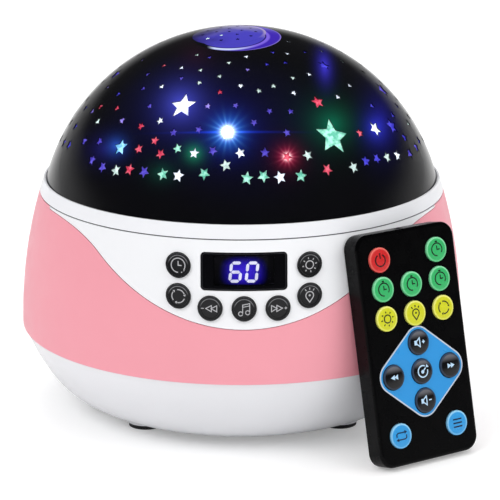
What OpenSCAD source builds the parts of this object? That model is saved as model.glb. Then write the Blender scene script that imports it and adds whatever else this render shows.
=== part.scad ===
// Star night light projector with a remote control leaning on its side.
// Millimetres, +Z up, front towards -Y. The origin lies on the surface that the feet
// stand on, below the axis that the dome turns about.

/* [Housing] */
// Largest diameter of the housing, at the seam above the bowl
housing_d = 154.4; // [140:0.2:170]
// Height of the seam between the bowl and the side shell
lower_seam_z = 29; // [27:0.5:34]
// Height of the seam between the side shell and the collar
upper_seam_z = 75.8; // [74:0.2:84]
// Radius of the side wall's upright curve
wall_curve_r = 164.5; // [150:0.5:300]
// Wall of the side shell, the front panel and the bowl
housing_wall = 2.2; // [1.8:0.1:2.6]
// Height of the white collar above the side shell
collar_h = 4.8; // [4.6:0.1:6]
// Width of the collar's lip round the dome
collar_lip_w = 0.6; // [0.5:0.1:2]
// How far the bowl's rim is set in under the side shell
seam_step = 0.5; // [0.2:0.1:1]
// Height of the shadow groove below the collar
seam_groove = 0.4; // [0.2:0.1:0.6]

/* [Bowl and base] */
// Radius of the bowl's upper curve
bowl_curve_r = 65.6; // [60:0.2:72]
// Slope of the bowl at its rim, from upright
bowl_rim_angle = 20; // [16:1:24]
// Slope where the bowl's upper curve meets its lower one, from upright
bowl_break_angle = 36; // [32:1:40]
// Height of the rubber feet
foot_h = 1.5; // [1.2:0.1:2.5]
// Diameter of a foot
foot_d = 12; // [9:0.5:14]
// Diameter of the circle that the four feet stand on
foot_circle_d = 94; // [90:1:98]
// Diameter of the speaker
speaker_d = 36; // [30:1:37]
// Distance of the speaker in front of the middle
speaker_y = 25; // [24:0.5:25.5]
// Diameter of a battery
cell_d = 10.5; // [10:0.1:10.7]
// Length of a battery with its nub
cell_l = 44.5; // [43:0.5:45]
// Thickness of the battery door
door_t = 2; // [1.8:0.1:2.4]
// Width of the door's tab, which takes its screw
door_tab_w = 11; // [9:0.5:14]

/* [Front panel] */
// Radius of the panel's round lower edge, seen from the front
panel_round_r = 66; // [60:1:72]
// Radius of the two curves that lead from it to the upper seam
panel_flare_r = 25; // [20:1:30]
// Depth of the panel below the upper seam
panel_drop = 28.3; // [26:0.1:30]
// Height of the panel's two tips
panel_tip_h = 0.6; // [0.4:0.1:1.2]
// Width of the display window
window_w = 28.2; // [26:0.2:29]
// Height of the display window
window_h = 12.2; // [11:0.1:12.6]
// Height of the window's middle
window_z = 66; // [65.5:0.1:66.5]
// Corner radius of the window
window_corner_r = 1.4; // [0.8:0.1:2]
// Height of a display digit
digit_h = 7.1; // [6:0.1:7.6]
// Diameter of a button
button_d = 7.8; // [7:0.1:8]
// Distance of the outer buttons from the middle
button_side_x = 21.3; // [21:0.1:22]
// Height of the upper pair of outer buttons
button_high_z = 67.5; // [67:0.1:68]
// Height of the lower pair of outer buttons
button_low_z = 57.7; // [57:0.1:58]
// Spacing of the bottom row of buttons
button_row_step = 11; // [10.8:0.1:11.2]
// Height of the bottom row of buttons
button_row_z = 54.3; // [54:0.1:54.6]
// How far a button goes in
button_travel = 0.4; // [0.2:0.1:0.5]

/* [Dome] */
// Diameter of the dome at its rim
dome_d = 136; // [130:0.5:137]
// Height of the dome above its rim
dome_h = 51.8; // [46:0.2:60]
// Wall of the dome
dome_wall = 1.8; // [1.4:0.1:2.2]
// Wall of the diffuser under the dome
liner_wall = 0.8; // [0.6:0.1:1.2]
// Point radius of the stars in the lowest row
low_star_r = 2.15; // [1.6:0.05:2.2]
// Point radius of the stars in the top row
high_star_r = 1.1; // [0.9:0.05:1.3]
// Radius of the moon's outline at the top of the dome
moon_r = 15; // [13:0.5:16]
// Radius of the disc that makes it a crescent
moon_disc_r = 12.6; // [11:0.1:13.4]

/* [Drive] */
// Module of the gears
gear_module = 1.5; // [1.25:0.25:1.5]
// Teeth of the pinion
pinion_teeth = 14; // [12:1:16]
// Width of the gear teeth
gear_face = 3.5; // [3:0.1:3.6]
// Diameter of the motor
motor_d = 24; // [20:1:26]
// Length of the motor
motor_l = 18; // [14:1:22]
// Diameter of the motor's shaft
shaft_d = 3; // [2:0.5:4]

/* [Light] */
// Height of the post that carries the light board
post_h = 11; // [8:1:20]
// Diameter of the light board
light_board_d = 38; // [30:1:50]

/* [Remote] */
// Width of the remote
remote_w = 40; // [38:0.5:42]
// Length of the remote
remote_l = 77; // [75:0.5:86]
// Thickness of the remote
remote_t = 7; // [7:0.1:8]
// Corner radius of the remote
remote_corner_r = 5; // [3:0.5:6]
// How far the remote leans back
remote_lean = 13; // [10:1:16]
// Direction in which the remote faces, from the front towards the right
remote_turn = 33; // [28:1:40]
// How far the remote's middle lies to the right of where it touches the housing
remote_shift = 12; // [6:1:16]
// Diameter of a remote key
key_d = 8.2; // [7:0.1:8.6]
// Spacing of the key columns
key_column_step = 11.6; // [11.2:0.1:12]
// Spacing of the key rows
key_row_step = 9.7; // [9.6:0.1:9.9]
// How far a remote key goes in
key_travel = 0.3; // [0.2:0.05:0.3]
// Diameter of the remote's coin cell
coin_d = 20; // [18:0.5:20]
// Thickness of the remote's coin cell
coin_t = 2.5; // [2:0.1:2.5]

/* [Clearances] */
// Gap round a moving piece
move_gap = 0.3; // [0.2:0.05:0.4]
// Gap round a piece that is fitted in another
seat_gap = 0.15; // [0.1:0.05:0.2]
// Gap round a button or key in its hole
key_gap = 0.2; // [0.15:0.05:0.3]
// Gap between the front panel and the side shell
panel_gap = 0.25; // [0.15:0.05:0.4]
// Radial clearance of a turning shaft
running_gap = 0.05; // [0.02:0.01:0.1]

/* [Hidden] */
$fn = 96;
// Facets of the housing's large curves
FINE = 220;
eps = 0.01;
far = 400;

white = "#e9eaee";
pink = "#f4a3ae";
black = "#101013";
steel = "#b9bcc2";
board_green = "#1f5a3a";

housing_r = housing_d / 2;
dome_rim_r = dome_d / 2;
bowl_top_r = housing_r - seam_step;
collar_top_z = upper_seam_z + collar_h;

// The side wall's curve runs from the housing's widest line to the collar's lip
wall_foot = [housing_r, lower_seam_z];
wall_head = [dome_rim_r + move_gap + collar_lip_w, collar_top_z];
wall_chord = wall_head - wall_foot;
wall_sagitta_l = sqrt(pow(wall_curve_r, 2) - pow(norm(wall_chord) / 2, 2));
wall_c = (wall_foot + wall_head) / 2
    + wall_sagitta_l * [-wall_chord.y, wall_chord.x] / norm(wall_chord);

// Outer radius of the side wall at a height
function wall_r(z) = wall_c.x + sqrt(pow(wall_curve_r, 2) - pow(z - wall_c.y, 2));

// ---------------------------------------------------------------- shared profiles

// Half section of the body inside the side wall, drawn in by inset, between two heights
module wall_region(inset, low_z, high_z) {
    intersection() {
        translate(wall_c)
            circle(wall_curve_r - inset, $fn = 2 * FINE);
        translate([0, low_z])
            square([far, high_z - low_z]);
    }
}

// Ring between two depths under the side wall's surface
module wall_ring(outer_inset, inner_inset, low_z, high_z) {
    rotate_extrude($fn = FINE)
        difference() {
            wall_region(outer_inset, low_z, high_z);
            wall_region(inner_inset, low_z - 1, high_z + 1);
        }
}

bowl_arc_c = [
    bowl_top_r - bowl_curve_r * cos(bowl_rim_angle),
    lower_seam_z + bowl_curve_r * sin(bowl_rim_angle)
];
bowl_drop = bowl_curve_r * (sin(bowl_break_angle) - sin(bowl_rim_angle));
bowl_corner_r = (lower_seam_z - foot_h - bowl_drop) / (1 - sin(bowl_break_angle));
bowl_break_dir = [cos(bowl_break_angle), -sin(bowl_break_angle)];
bowl_corner_c = bowl_arc_c + (bowl_curve_r - bowl_corner_r) * bowl_break_dir;

// Half section of the bowl, drawn in by inset and cut off at a height
module bowl_region(inset, top_z) {
    intersection() {
        union() {
            intersection() {
                translate(bowl_arc_c)
                    circle(bowl_curve_r - inset, $fn = FINE);
                polygon([
                    bowl_arc_c,
                    bowl_arc_c + far * bowl_break_dir,
                    [far, far],
                    [0, far],
                    [0, bowl_arc_c.y]
                ]);
            }
            translate(bowl_corner_c)
                circle(bowl_corner_r - inset, $fn = FINE);
            translate([0, foot_h + inset])
                square([bowl_corner_c.x, far]);
        }
        translate([0, foot_h + inset])
            square([housing_r, top_z - foot_h - inset]);
    }
}

module bowl_solid(inset, top_z) {
    rotate_extrude($fn = FINE)
        bowl_region(inset, top_z);
}

module tube(outer_r, inner_r, h) {
    difference() {
        cylinder(r = outer_r, h = h);
        translate([0, 0, -eps])
            cylinder(r = inner_r, h = h + 2 * eps);
    }
}

// Ring of rectangular section
module band(outer_r, inner_r, low_z, high_z, facets = FINE) {
    translate([0, 0, low_z])
        difference() {
            cylinder(r = outer_r, h = high_z - low_z, $fn = facets);
            translate([0, 0, -eps])
                cylinder(r = inner_r, h = high_z - low_z + 2 * eps, $fn = facets);
        }
}

module rounded_rect(w, h, r) {
    square([w - 2 * r, h], center = true);
    square([w, h - 2 * r], center = true);
    for (sx = [-1, 1])
        for (sy = [-1, 1])
            translate([sx * (w / 2 - r), sy * (h / 2 - r)])
                circle(r, $fn = 48);
}

// A prism along Y: x across and y up in the outline, from one y to another
module front_prism(y_front, y_back) {
    translate([0, y_back, 0])
        rotate([90, 0, 0])
            linear_extrude(y_back - y_front)
                children();
}

module screw(head_r, head_h, shank_r, shank_l) {
    difference() {
        cylinder(r = head_r, h = head_h, $fn = 32);
        translate([0, 0, -eps])
            for (turn = [0, 90])
                rotate(turn)
                    translate([-head_r * 0.6, -head_r * 0.12, 0])
                        cube([head_r * 1.2, head_r * 0.24, head_h * 0.5]);
    }
    translate([0, 0, head_h])
        cylinder(r = shank_r, h = shank_l, $fn = 32);
}

// ---------------------------------------------------------------- front panel outline

panel_rise = panel_drop - panel_tip_h;
panel_angle = acos(1 - panel_rise / (panel_round_r + panel_flare_r));
panel_meet_x = panel_round_r * sin(panel_angle);
panel_end_x = (panel_round_r + panel_flare_r) * sin(panel_angle);
panel_low_z = upper_seam_z - panel_drop;

// The panel seen from the front: a round edge below, flaring out to the upper seam
module panel_outline(grow, top_z) {
    meet_z = panel_low_z + panel_round_r * (1 - cos(panel_angle));
    intersection() {
        translate([-panel_end_x, 0])
            square([2 * panel_end_x, top_z]);
        union() {
            intersection() {
                translate([0, panel_low_z + panel_round_r])
                    circle(panel_round_r + grow, $fn = FINE);
                translate([-panel_meet_x, 0])
                    square([2 * panel_meet_x, top_z]);
            }
            for (side = [-1, 1])
                mirror([side < 0 ? 1 : 0, 0])
                    difference() {
                        translate([panel_meet_x - eps, meet_z - 2 * abs(grow)])
                            square([panel_end_x - panel_meet_x + eps, far]);
                        translate([panel_end_x, panel_low_z + panel_rise - panel_flare_r])
                            circle(panel_flare_r - grow, $fn = FINE);
                    }
        }
    }
}

module panel_prism(grow, top_z) {
    front_prism(-housing_r - 5, -5)
        panel_outline(grow, top_z);
}

button_places = [
    [-button_side_x, button_high_z],
    [-button_side_x, button_low_z],
    [-button_row_step, button_row_z],
    [0, button_row_z],
    [button_row_step, button_row_z],
    [button_side_x, button_high_z],
    [button_side_x, button_low_z]
];

// ---------------------------------------------------------------- bowl and base

floor_z = foot_h + housing_wall;
case_screw_r = 52;
case_screw_turns = [20, 160, 200, 340];
case_boss_top_z = lower_seam_z - 2.3;
case_boss_r = 4.2;
case_head_z = 8;
case_head_r = 3;
case_head_t = 2.2;
case_shank_r = 1.45;
case_shank_l = 30;
case_thread_l = 7;

bay_w = cell_l + 5.9;
cell_step = cell_d + 0.2;
bay_h = 4 * cell_step + 0.4;
bay_y = 19.5;
bay_wall = 1.6;
cell_z = foot_h + door_t + move_gap + cell_d / 2;
bay_top_z = cell_z + cell_d / 2 + 0.4;

door_w = bay_w - 1.6;
door_l = bay_h - 1.2;
hinge_y = bay_y - door_l / 2 + door_t / 2;
hinge_z = foot_h + door_t / 2;
hinge_pin_r = 0.6;
hinge_pin_l = 1.2;
door_end_y = bay_y + door_l / 2;
door_tab_l = 7.5;
door_screw_y = door_end_y + 4.3;
door_screw_r = 1.2;
door_head_r = 2.4;
head_inset = 0.1;
door_boss_h = 8;

function foot_place(i) = [
    foot_circle_d / 2 * cos(45 + 90 * i),
    foot_circle_d / 2 * sin(45 + 90 * i),
    0
];

function case_screw_place(i) = [
    case_screw_r * cos(case_screw_turns[i]),
    case_screw_r * sin(case_screw_turns[i]),
    0
];

module speaker_holes() {
    for (ring = [0:3])
        for (i = [0:max(0, 6 * ring - 1)])
            rotate(i * 360 / max(1, 6 * ring))
                translate([ring * speaker_d * 0.115, 0, 0])
                    cylinder(r = 1.1, h = 10, $fn = 24);
}

module lower_shell() {
    color(white)
        difference() {
            union() {
                difference() {
                    bowl_solid(0, lower_seam_z);
                    bowl_solid(housing_wall, lower_seam_z + 1);
                }
                intersection() {
                    bowl_solid(0, lower_seam_z);
                    union() {
                        // foot pads, screw posts, speaker seat and battery bay
                        for (i = [0:3])
                            translate(foot_place(i))
                                cylinder(r = foot_d / 2 + 0.6, h = floor_z + 1);
                        for (i = [0:3])
                            translate(case_screw_place(i))
                                cylinder(r = case_boss_r, h = case_boss_top_z);
                        translate([0, -speaker_y, 0])
                            cylinder(r = speaker_d / 2 + 1.8, h = floor_z + 4);
                        translate([-bay_w / 2 - bay_wall, bay_y - bay_h / 2 - bay_wall, 0])
                            cube([
                                bay_w + 2 * bay_wall,
                                bay_h + 2 * bay_wall,
                                bay_top_z + bay_wall
                            ]);
                        // boss for the door's screw
                        translate([-door_tab_w / 2 - 1, bay_y + bay_h / 2, 0])
                            cube([door_tab_w + 2, door_tab_l + 1.5, door_boss_h]);
                    }
                }
                for (i = [0:3])
                    translate(foot_place(i) + [0, 0, foot_h])
                        cylinder(r = foot_d / 2 + 0.6, h = 1);
            }
            for (i = [0:3])
                translate(foot_place(i) - [0, 0, eps])
                    cylinder(r = 2.5, h = 20, $fn = 48);
            for (i = [0:3])
                translate(case_screw_place(i)) {
                    translate([0, 0, -eps])
                        cylinder(r = case_head_r + 0.4, h = case_head_z + eps, $fn = 48);
                    cylinder(r = case_shank_r + 0.25, h = far, $fn = 48);
                }
            translate([0, -speaker_y, floor_z])
                cylinder(r = speaker_d / 2 + seat_gap, h = 20);
            translate([0, -speaker_y, 0])
                speaker_holes();
            translate([-bay_w / 2, bay_y - bay_h / 2, floor_z])
                cube([bay_w, bay_h, bay_top_z - floor_z]);
            door_space(move_gap);
            translate([0, door_screw_y, 0])
                cylinder(r = door_screw_r + 0.2, h = door_boss_h - 1, $fn = 32);
        }
}

// The battery door's own volume, grown by a gap all round
module door_space(gap) {
    translate([-door_w / 2 - gap, hinge_y, foot_h - 1])
        cube([door_w + 2 * gap, door_l - door_t / 2 + gap, door_t + gap + 1]);
    translate([-door_tab_w / 2 - gap, door_end_y - 1, foot_h - 1])
        cube([door_tab_w + 2 * gap, door_tab_l + 1 + gap, door_t + gap + 1]);
    translate([-door_w / 2 - gap, hinge_y, hinge_z])
        rotate([0, 90, 0])
            cylinder(r = door_t / 2 + gap, h = door_w + 2 * gap, $fn = 48);
    translate([-door_w / 2 - gap, hinge_y - door_t / 2 - 2 * gap, foot_h - 1])
        cube([door_w + 2 * gap, door_t / 2 + 2 * gap, 1 + door_t / 2]);
    if (gap > 0)
        translate([-door_w / 2 - hinge_pin_l - gap, hinge_y, hinge_z])
            rotate([0, 90, 0])
                cylinder(
                    r = hinge_pin_r + running_gap,
                    h = door_w + 2 * hinge_pin_l + 2 * gap,
                    $fn = 32
                );
}

module battery_door() {
    color(white)
        difference() {
            union() {
                intersection() {
                    bowl_solid(0, lower_seam_z);
                    union() {
                        translate([-door_w / 2, hinge_y, foot_h])
                            cube([door_w, door_l - door_t / 2, door_t]);
                        translate([-door_tab_w / 2, door_end_y - 1, foot_h])
                            cube([door_tab_w, door_tab_l + 1, door_t]);
                        translate([-door_w / 2, hinge_y, hinge_z])
                            rotate([0, 90, 0])
                                cylinder(r = door_t / 2, h = door_w, $fn = 48);
                    }
                }
                translate([-door_w / 2 - hinge_pin_l, hinge_y, hinge_z])
                    rotate([0, 90, 0])
                        cylinder(r = hinge_pin_r, h = door_w + 2 * hinge_pin_l, $fn = 32);
            }
            translate([0, door_screw_y, foot_h - eps])
                cylinder(r = door_head_r + 0.2, h = door_t / 2 + eps, $fn = 32);
            translate([0, door_screw_y, 0])
                cylinder(r = door_screw_r + running_gap, h = far, $fn = 32);
        }
}

module door_screw() {
    color(steel)
        translate([0, door_screw_y, foot_h + head_inset])
            screw(door_head_r, door_t / 2 - head_inset, door_screw_r, door_t / 2 + 2);
}

module feet() {
    color("#2a2a2c")
        for (i = [0:3])
            translate(foot_place(i)) {
                cylinder(r = foot_d / 2, h = foot_h);
                cylinder(r = 2.35, h = floor_z + 1.2, $fn = 48);
                translate([0, 0, floor_z + 1.1])
                    cylinder(r = 2.9, h = 1, $fn = 48);
            }
}

module case_screws() {
    color(steel)
        for (i = [0:3])
            translate(case_screw_place(i) + [0, 0, case_head_z - case_head_t])
                screw(case_head_r, case_head_t, case_shank_r, case_shank_l);
}

speaker_frame_h = 6.5;
magnet_h = 5;
cone_h = speaker_frame_h - 0.9;

module speaker_frame() {
    color(steel)
        translate([0, -speaker_y, floor_z + 0.1])
            rotate_extrude() {
                polygon([
                    [speaker_d / 2 - 3, 0],
                    [speaker_d / 2, 0],
                    [speaker_d / 2, 1],
                    [speaker_d / 2 - 2, 1],
                    [speaker_d * 0.3, speaker_frame_h],
                    [0, speaker_frame_h],
                    [0, speaker_frame_h - 0.8],
                    [speaker_d * 0.28, speaker_frame_h - 0.8],
                    [speaker_d / 2 - 3, 0.6]
                ]);
                translate([0, speaker_frame_h])
                    square([speaker_d * 0.3, magnet_h]);
            }
}

module speaker_cone() {
    color("#3a3a3d")
        translate([0, -speaker_y, floor_z + 0.1])
            rotate_extrude()
                polygon([
                    [0, cone_h - 1.2],
                    [speaker_d * 0.14, cone_h - 1.2],
                    [speaker_d * 0.16, cone_h - 0.6],
                    [speaker_d / 2 - 3.1, 0],
                    [speaker_d / 2 - 3.1, 0.5],
                    [speaker_d * 0.17, cone_h],
                    [0, cone_h]
                ]);
}

function cell_y(i) = bay_y + (i - 1.5) * cell_step;
// Cells lie head to tail
function cell_side(i) = i % 2 == 0 ? 1 : -1;

module battery_cells() {
    color("#c9a227")
        for (i = [0:3])
            translate([cell_side(i) * 1.8, cell_y(i), cell_z])
                rotate([0, cell_side(i) * 90, 0])
                    translate([0, 0, -cell_l / 2]) {
                        cylinder(r = cell_d / 2, h = cell_l - 1);
                        cylinder(r = cell_d * 0.18, h = cell_l, $fn = 32);
                    }
}

module battery_contacts() {
    plate_w = cell_d * 0.8;
    color(steel)
        for (i = [0:3])
            for (side = [-1, 1])
                translate([side * (bay_w / 2 - 0.3), cell_y(i), cell_z])
                    rotate([0, -side * 90, 0]) {
                        translate([-plate_w / 2, -plate_w / 2, -0.3])
                            cube([plate_w, plate_w, 0.4]);
                        if (side == cell_side(i)) {
                            cylinder(r = 1.6, h = 0.6, $fn = 32);
                        } else {
                            cylinder(r1 = 3.4, r2 = 1.8, h = 4.2, $fn = 32);
                        }
                    }
}

// ---------------------------------------------------------------- side shell and panel

tongue_r = bowl_arc_c.x + sqrt(pow(bowl_curve_r - housing_wall, 2)
    - pow(bowl_arc_c.y - (lower_seam_z - 2.8), 2)) - seat_gap;
deck_t = 2;
deck_r = wall_r(upper_seam_z) - housing_wall - seat_gap;
ledge_h = 1.6;
deck_low_z = upper_seam_z - deck_t;
cable_hole_r = 6;
usb_z = 38;
usb_w = 7.6;
usb_h = 2.8;
usb_y = wall_r(usb_z) - 1;

module side_shell() {
    color(pink)
        difference() {
            union() {
                wall_ring(0, housing_wall, lower_seam_z, upper_seam_z);
                // ledge that carries the deck
                band(wall_r(deck_low_z) - housing_wall / 2, deck_r - 2.2,
                    deck_low_z - ledge_h, deck_low_z);
                band(tongue_r, tongue_r - 1.4, lower_seam_z - 2.8, lower_seam_z + 1.5);
                band(housing_r - 1, tongue_r - 1.4, lower_seam_z, lower_seam_z + 1.5);
                // shelf for the power inlet
                translate([-usb_w / 2 - 1.5, usb_y - 8, usb_z - usb_h / 2 - 1.6])
                    cube([usb_w + 3, 8, 1.6]);
            }
            panel_prism(panel_gap, upper_seam_z + 1);
            translate([0, 0, usb_z])
                front_prism(usb_y - 2.2, far)
                    rounded_rect(usb_w + 1, usb_h + 1, 1);
        }
}

window_t = 1.5;
window_inset = 0.15;
panel_rim = 3;
panel_rim_t = 1.5;
board_depth = 15.4;
board_y = board_depth - wall_r(window_z);
board_t = 1.6;
board_screw_r = 0.95;
board_screw_l = 6;
board_head_r = 1.6;
board_head_t = 1;
switch_h = 5;
button_flange_w = 0.8;
panel_boss_r = 2.4;
panel_boss = [[-17.6, 50.4], [17.6, 50.4]];

module front_panel() {
    under = housing_wall + seat_gap;
    rim_top_z = deck_low_z - ledge_h - move_gap;
    color(white)
        difference() {
            union() {
                intersection() {
                    wall_ring(0, housing_wall, panel_low_z - 5, upper_seam_z);
                    panel_prism(0, upper_seam_z + 1);
                }
                // rim that laps behind the side shell, clear of the buttons' flanges
                difference() {
                    union() {
                        intersection() {
                            wall_ring(under, under + panel_rim_t, panel_low_z - 5, rim_top_z);
                            difference() {
                                panel_prism(panel_rim, upper_seam_z);
                                panel_prism(-panel_rim, upper_seam_z + 1);
                            }
                        }
                        intersection() {
                            wall_ring(eps, under + panel_rim_t, panel_low_z - 5, rim_top_z);
                            difference() {
                                panel_prism(0, upper_seam_z);
                                panel_prism(-panel_rim, upper_seam_z + 1);
                            }
                        }
                    }
                    intersection() {
                        for (place = button_places)
                            translate([place.x, 0, place.y])
                                rotate([90, 0, 0])
                                    cylinder(
                                        r = button_d / 2 + button_flange_w + move_gap,
                                        h = far,
                                        $fn = 64
                                    );
                        wall_ring(housing_wall, 20, panel_low_z - 5, upper_seam_z);
                    }
                }
                // bosses for the board's screws
                intersection() {
                    for (place = panel_boss)
                        translate([place.x, board_y - board_t, place.y])
                            rotate([90, 0, 0])
                                cylinder(r = panel_boss_r, h = 20, $fn = 32);
                    wall_ring(under, 20, panel_low_z - 5, upper_seam_z);
                }
            }
            for (place = button_places)
                translate([place.x, 0, place.y])
                    rotate([90, 0, 0])
                        cylinder(r = button_d / 2 + key_gap, h = far, $fn = 64);
            // opening for the window, with a ledge behind it
            intersection() {
                wall_ring(-1, window_t + window_inset, window_z - window_h, upper_seam_z);
                translate([0, 0, window_z])
                    front_prism(-far, -20)
                        rounded_rect(window_w, window_h, window_corner_r);
            }
            translate([0, 0, window_z])
                front_prism(-far, -20)
                    rounded_rect(window_w - 2.4, window_h - 1.6, 0.8);
            for (place = panel_boss)
                translate([place.x, board_y, place.y])
                    rotate([90, 0, 0])
                        cylinder(
                            r = board_screw_r + running_gap,
                            h = board_screw_l + board_t + 1,
                            $fn = 32
                        );
        }
}

module display_window() {
    color("#08080c")
        intersection() {
            wall_ring(window_inset, window_inset + window_t, window_z - window_h, upper_seam_z);
            translate([0, 0, window_z])
                front_prism(-far, -20)
                    rounded_rect(window_w - 2 * seat_gap, window_h - 2 * seat_gap,
                        window_corner_r - seat_gap);
        }
}

module_depth = 4.7;
module_y = module_depth - wall_r(window_z);
module_w = 20;
module_h = 10.6;
digit_z = window_z - 1.3;
digit_w = digit_h * 0.59;
digit_step = digit_h * 0.75;
bar = digit_h * 0.135;
bar_gap = 0.18;
digit_slant = 6;

module display_module() {
    color("#26262a")
        translate([0, 0, window_z - 0.4])
            front_prism(module_y, board_y - board_t)
                square([module_w, module_h], center = true);
}

// One bar of a digit, with pointed ends, along X
module digit_bar(l) {
    polygon([
        [-l / 2 + bar_gap, 0],
        [-l / 2 + bar / 2 + bar_gap, bar / 2],
        [l / 2 - bar / 2 - bar_gap, bar / 2],
        [l / 2 - bar_gap, 0],
        [l / 2 - bar / 2 - bar_gap, -bar / 2],
        [-l / 2 + bar / 2 + bar_gap, -bar / 2]
    ]);
}

// Bars a to g as flags: top, upper right, lower right, bottom, lower left, upper left, middle
module digit(flags) {
    w = digit_w - bar;
    h = (digit_h - bar) / 2;
    places = [
        [0, h, 0], [w / 2, h / 2, 90], [w / 2, -h / 2, 90], [0, -h, 0],
        [-w / 2, -h / 2, 90], [-w / 2, h / 2, 90], [0, 0, 0]
    ];
    multmatrix([[1, tan(digit_slant), 0, 0], [0, 1, 0, 0], [0, 0, 1, 0], [0, 0, 0, 1]])
        for (i = [0:6])
            if (flags[i])
                translate([places[i].x, places[i].y])
                    rotate(places[i].z)
                        digit_bar(places[i].z == 0 ? w : h);
}

module display_digits() {
    color("#dfe4ff")
        translate([0, 0, digit_z])
            front_prism(module_y - 0.3, module_y) {
                translate([-digit_step / 2, 0])
                    digit([1, 0, 1, 1, 1, 1, 1]);
                translate([digit_step / 2, 0])
                    digit([1, 1, 1, 1, 1, 1, 0]);
            }
}

module main_board() {
    low_z = panel_boss[0].y - 3;
    high_z = window_z + module_h / 2;
    color(board_green)
        difference() {
            translate([0, 0, (low_z + high_z) / 2])
                front_prism(board_y - board_t, board_y)
                    square([2 * button_side_x + 9, high_z - low_z], center = true);
            for (place = panel_boss)
                translate([place.x, board_y + 1, place.y])
                    rotate([90, 0, 0])
                        cylinder(r = board_screw_r + 0.25, h = board_t + 2, $fn = 32);
        }
}

module tact_switches() {
    color("#3b3b40")
        for (place = button_places)
            translate([place.x, board_y - board_t, place.y])
                rotate([90, 0, 0]) {
                    translate([-3, -3, 0])
                        cube([6, 6, switch_h - 1.5]);
                    cylinder(r = 1.7, h = switch_h, $fn = 32);
                }
}

module ir_receiver() {
    color("#1a1a1c")
        translate([module_w / 2 + 2.1, board_y - board_t, window_z]) {
            translate([-1.7, -3.4, -3])
                cube([3.4, 3.4, 6]);
            translate([0, -3.4, 0.6])
                sphere(r = 1.6, $fn = 32);
        }
}

// A panel button slides in along +Y; its face follows the panel and has a raised rim
module panel_button(i) {
    place = button_places[i];
    r = button_d / 2;
    behind = housing_wall + move_gap;
    stem_y = board_y - board_t - switch_h - button_travel - 0.1;
    color(black) {
        intersection() {
            translate([place.x, 0, place.y])
                rotate([90, 0, 0])
                    cylinder(r = r, h = far, $fn = 64);
            wall_ring(-0.35, behind + 1.2, place.y - 8, place.y + 8);
        }
        intersection() {
            translate([place.x, 0, place.y])
                rotate([90, 0, 0])
                    tube(r, r - 0.7, far);
            wall_ring(-0.8, 0.5, place.y - 8, place.y + 8);
        }
        intersection() {
            translate([place.x, 0, place.y])
                rotate([90, 0, 0])
                    cylinder(r = r + button_flange_w, h = far, $fn = 64);
            wall_ring(behind, behind + 1.2, place.y - 8, place.y + 8);
        }
        intersection() {
            translate([place.x, stem_y, place.y])
                rotate([90, 0, 0])
                    cylinder(r = 1.6, h = 20, $fn = 32);
            wall_ring(behind + 0.2, 30, place.y - 8, place.y + 8);
        }
    }
}

module button_timer() {
    panel_button(0);
}

module button_turn() {
    panel_button(1);
}

module button_back() {
    panel_button(2);
}

module button_music() {
    panel_button(3);
}

module button_next() {
    panel_button(4);
}

module button_lamp() {
    panel_button(5);
}

module button_colour() {
    panel_button(6);
}

module usb_socket() {
    color(steel)
        translate([0, 0, usb_z])
            difference() {
                front_prism(usb_y - 6, usb_y)
                    rounded_rect(usb_w, usb_h, 0.8);
                front_prism(usb_y - 5.4, usb_y + 1)
                    difference() {
                        rounded_rect(usb_w - 0.7, usb_h - 0.7, 0.5);
                        translate([0, 0.3])
                            square([usb_w - 2.4, 0.7], center = true);
                    }
            }
}

// ---------------------------------------------------------------- dome, collar and drive

// The dome's rim stands a little below the collar's lip
rim_drop = 0.4;
dome_base_z = collar_top_z - rim_drop;
dome_flange_t = 1.5;
apex_z = dome_base_z + dome_h;
sphere_r = (pow(dome_rim_r, 2) + pow(dome_h, 2)) / (2 * dome_h);
sphere_z = apex_z - sphere_r;

table_r = dome_rim_r - 2;
table_flange_r = table_r + 1.4;
table_flange_low_z = dome_base_z - 2.8;
table_flange_high_z = dome_base_z - 1.5;
track_h = 0.6;
table_low_z = upper_seam_z + track_h + running_gap;
collar_hook_z = table_flange_high_z + move_gap;

module collar_ring() {
    lip_r = dome_rim_r + move_gap;
    color(white)
        rotate_extrude($fn = FINE)
            difference() {
                union() {
                    wall_region(0, upper_seam_z + seam_groove, collar_top_z);
                    wall_region(0.8, upper_seam_z, upper_seam_z + 2);
                }
                // groove for the dome's rim
                translate([0, dome_base_z - move_gap])
                    square([lip_r, far]);
                // room for the turntable and the hook that keeps it down
                translate([0, 0])
                    square([table_r + move_gap, far]);
                translate([0, upper_seam_z + 1])
                    square([table_flange_r + move_gap, collar_hook_z - upper_seam_z - 1]);
            }
}

ring_teeth = 2 * floor((dome_rim_r - 12.3) / gear_module);
ring_pitch_r = gear_module * ring_teeth / 2;
pinion_pitch_r = gear_module * pinion_teeth / 2;
pinion_y = ring_pitch_r - pinion_pitch_r;
band_r = ring_pitch_r + 1.25 * gear_module + 2.6;

function involute(a) = tan(a) * 180 / PI - a;

// Half the angle that a tooth spans at a radius
function tooth_angle(r, teeth, extra) =
    let (pitch_r = gear_module * teeth / 2, base_r = pitch_r * cos(20))
    90 / teeth + extra / pitch_r * 180 / PI + involute(20)
        - involute(acos(min(1, base_r / r)));

// Outline of an involute gear from its root to its tip radius; extra widens each flank
module gear_outline(teeth, root_r, tip_r, extra) {
    steps = 4;
    radii = [for (i = [0:steps]) root_r + (tip_r - root_r) * i / steps];
    polygon([
        for (tooth = [0:teeth - 1])
            for (side = [-1, 1])
                for (i = [0:steps])
                    let (
                        r = radii[side < 0 ? i : steps - i],
                        a = tooth * 360 / teeth + side * tooth_angle(r, teeth, extra)
                    )
                    [r * cos(a), r * sin(a)]
    ]);
}

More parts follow.
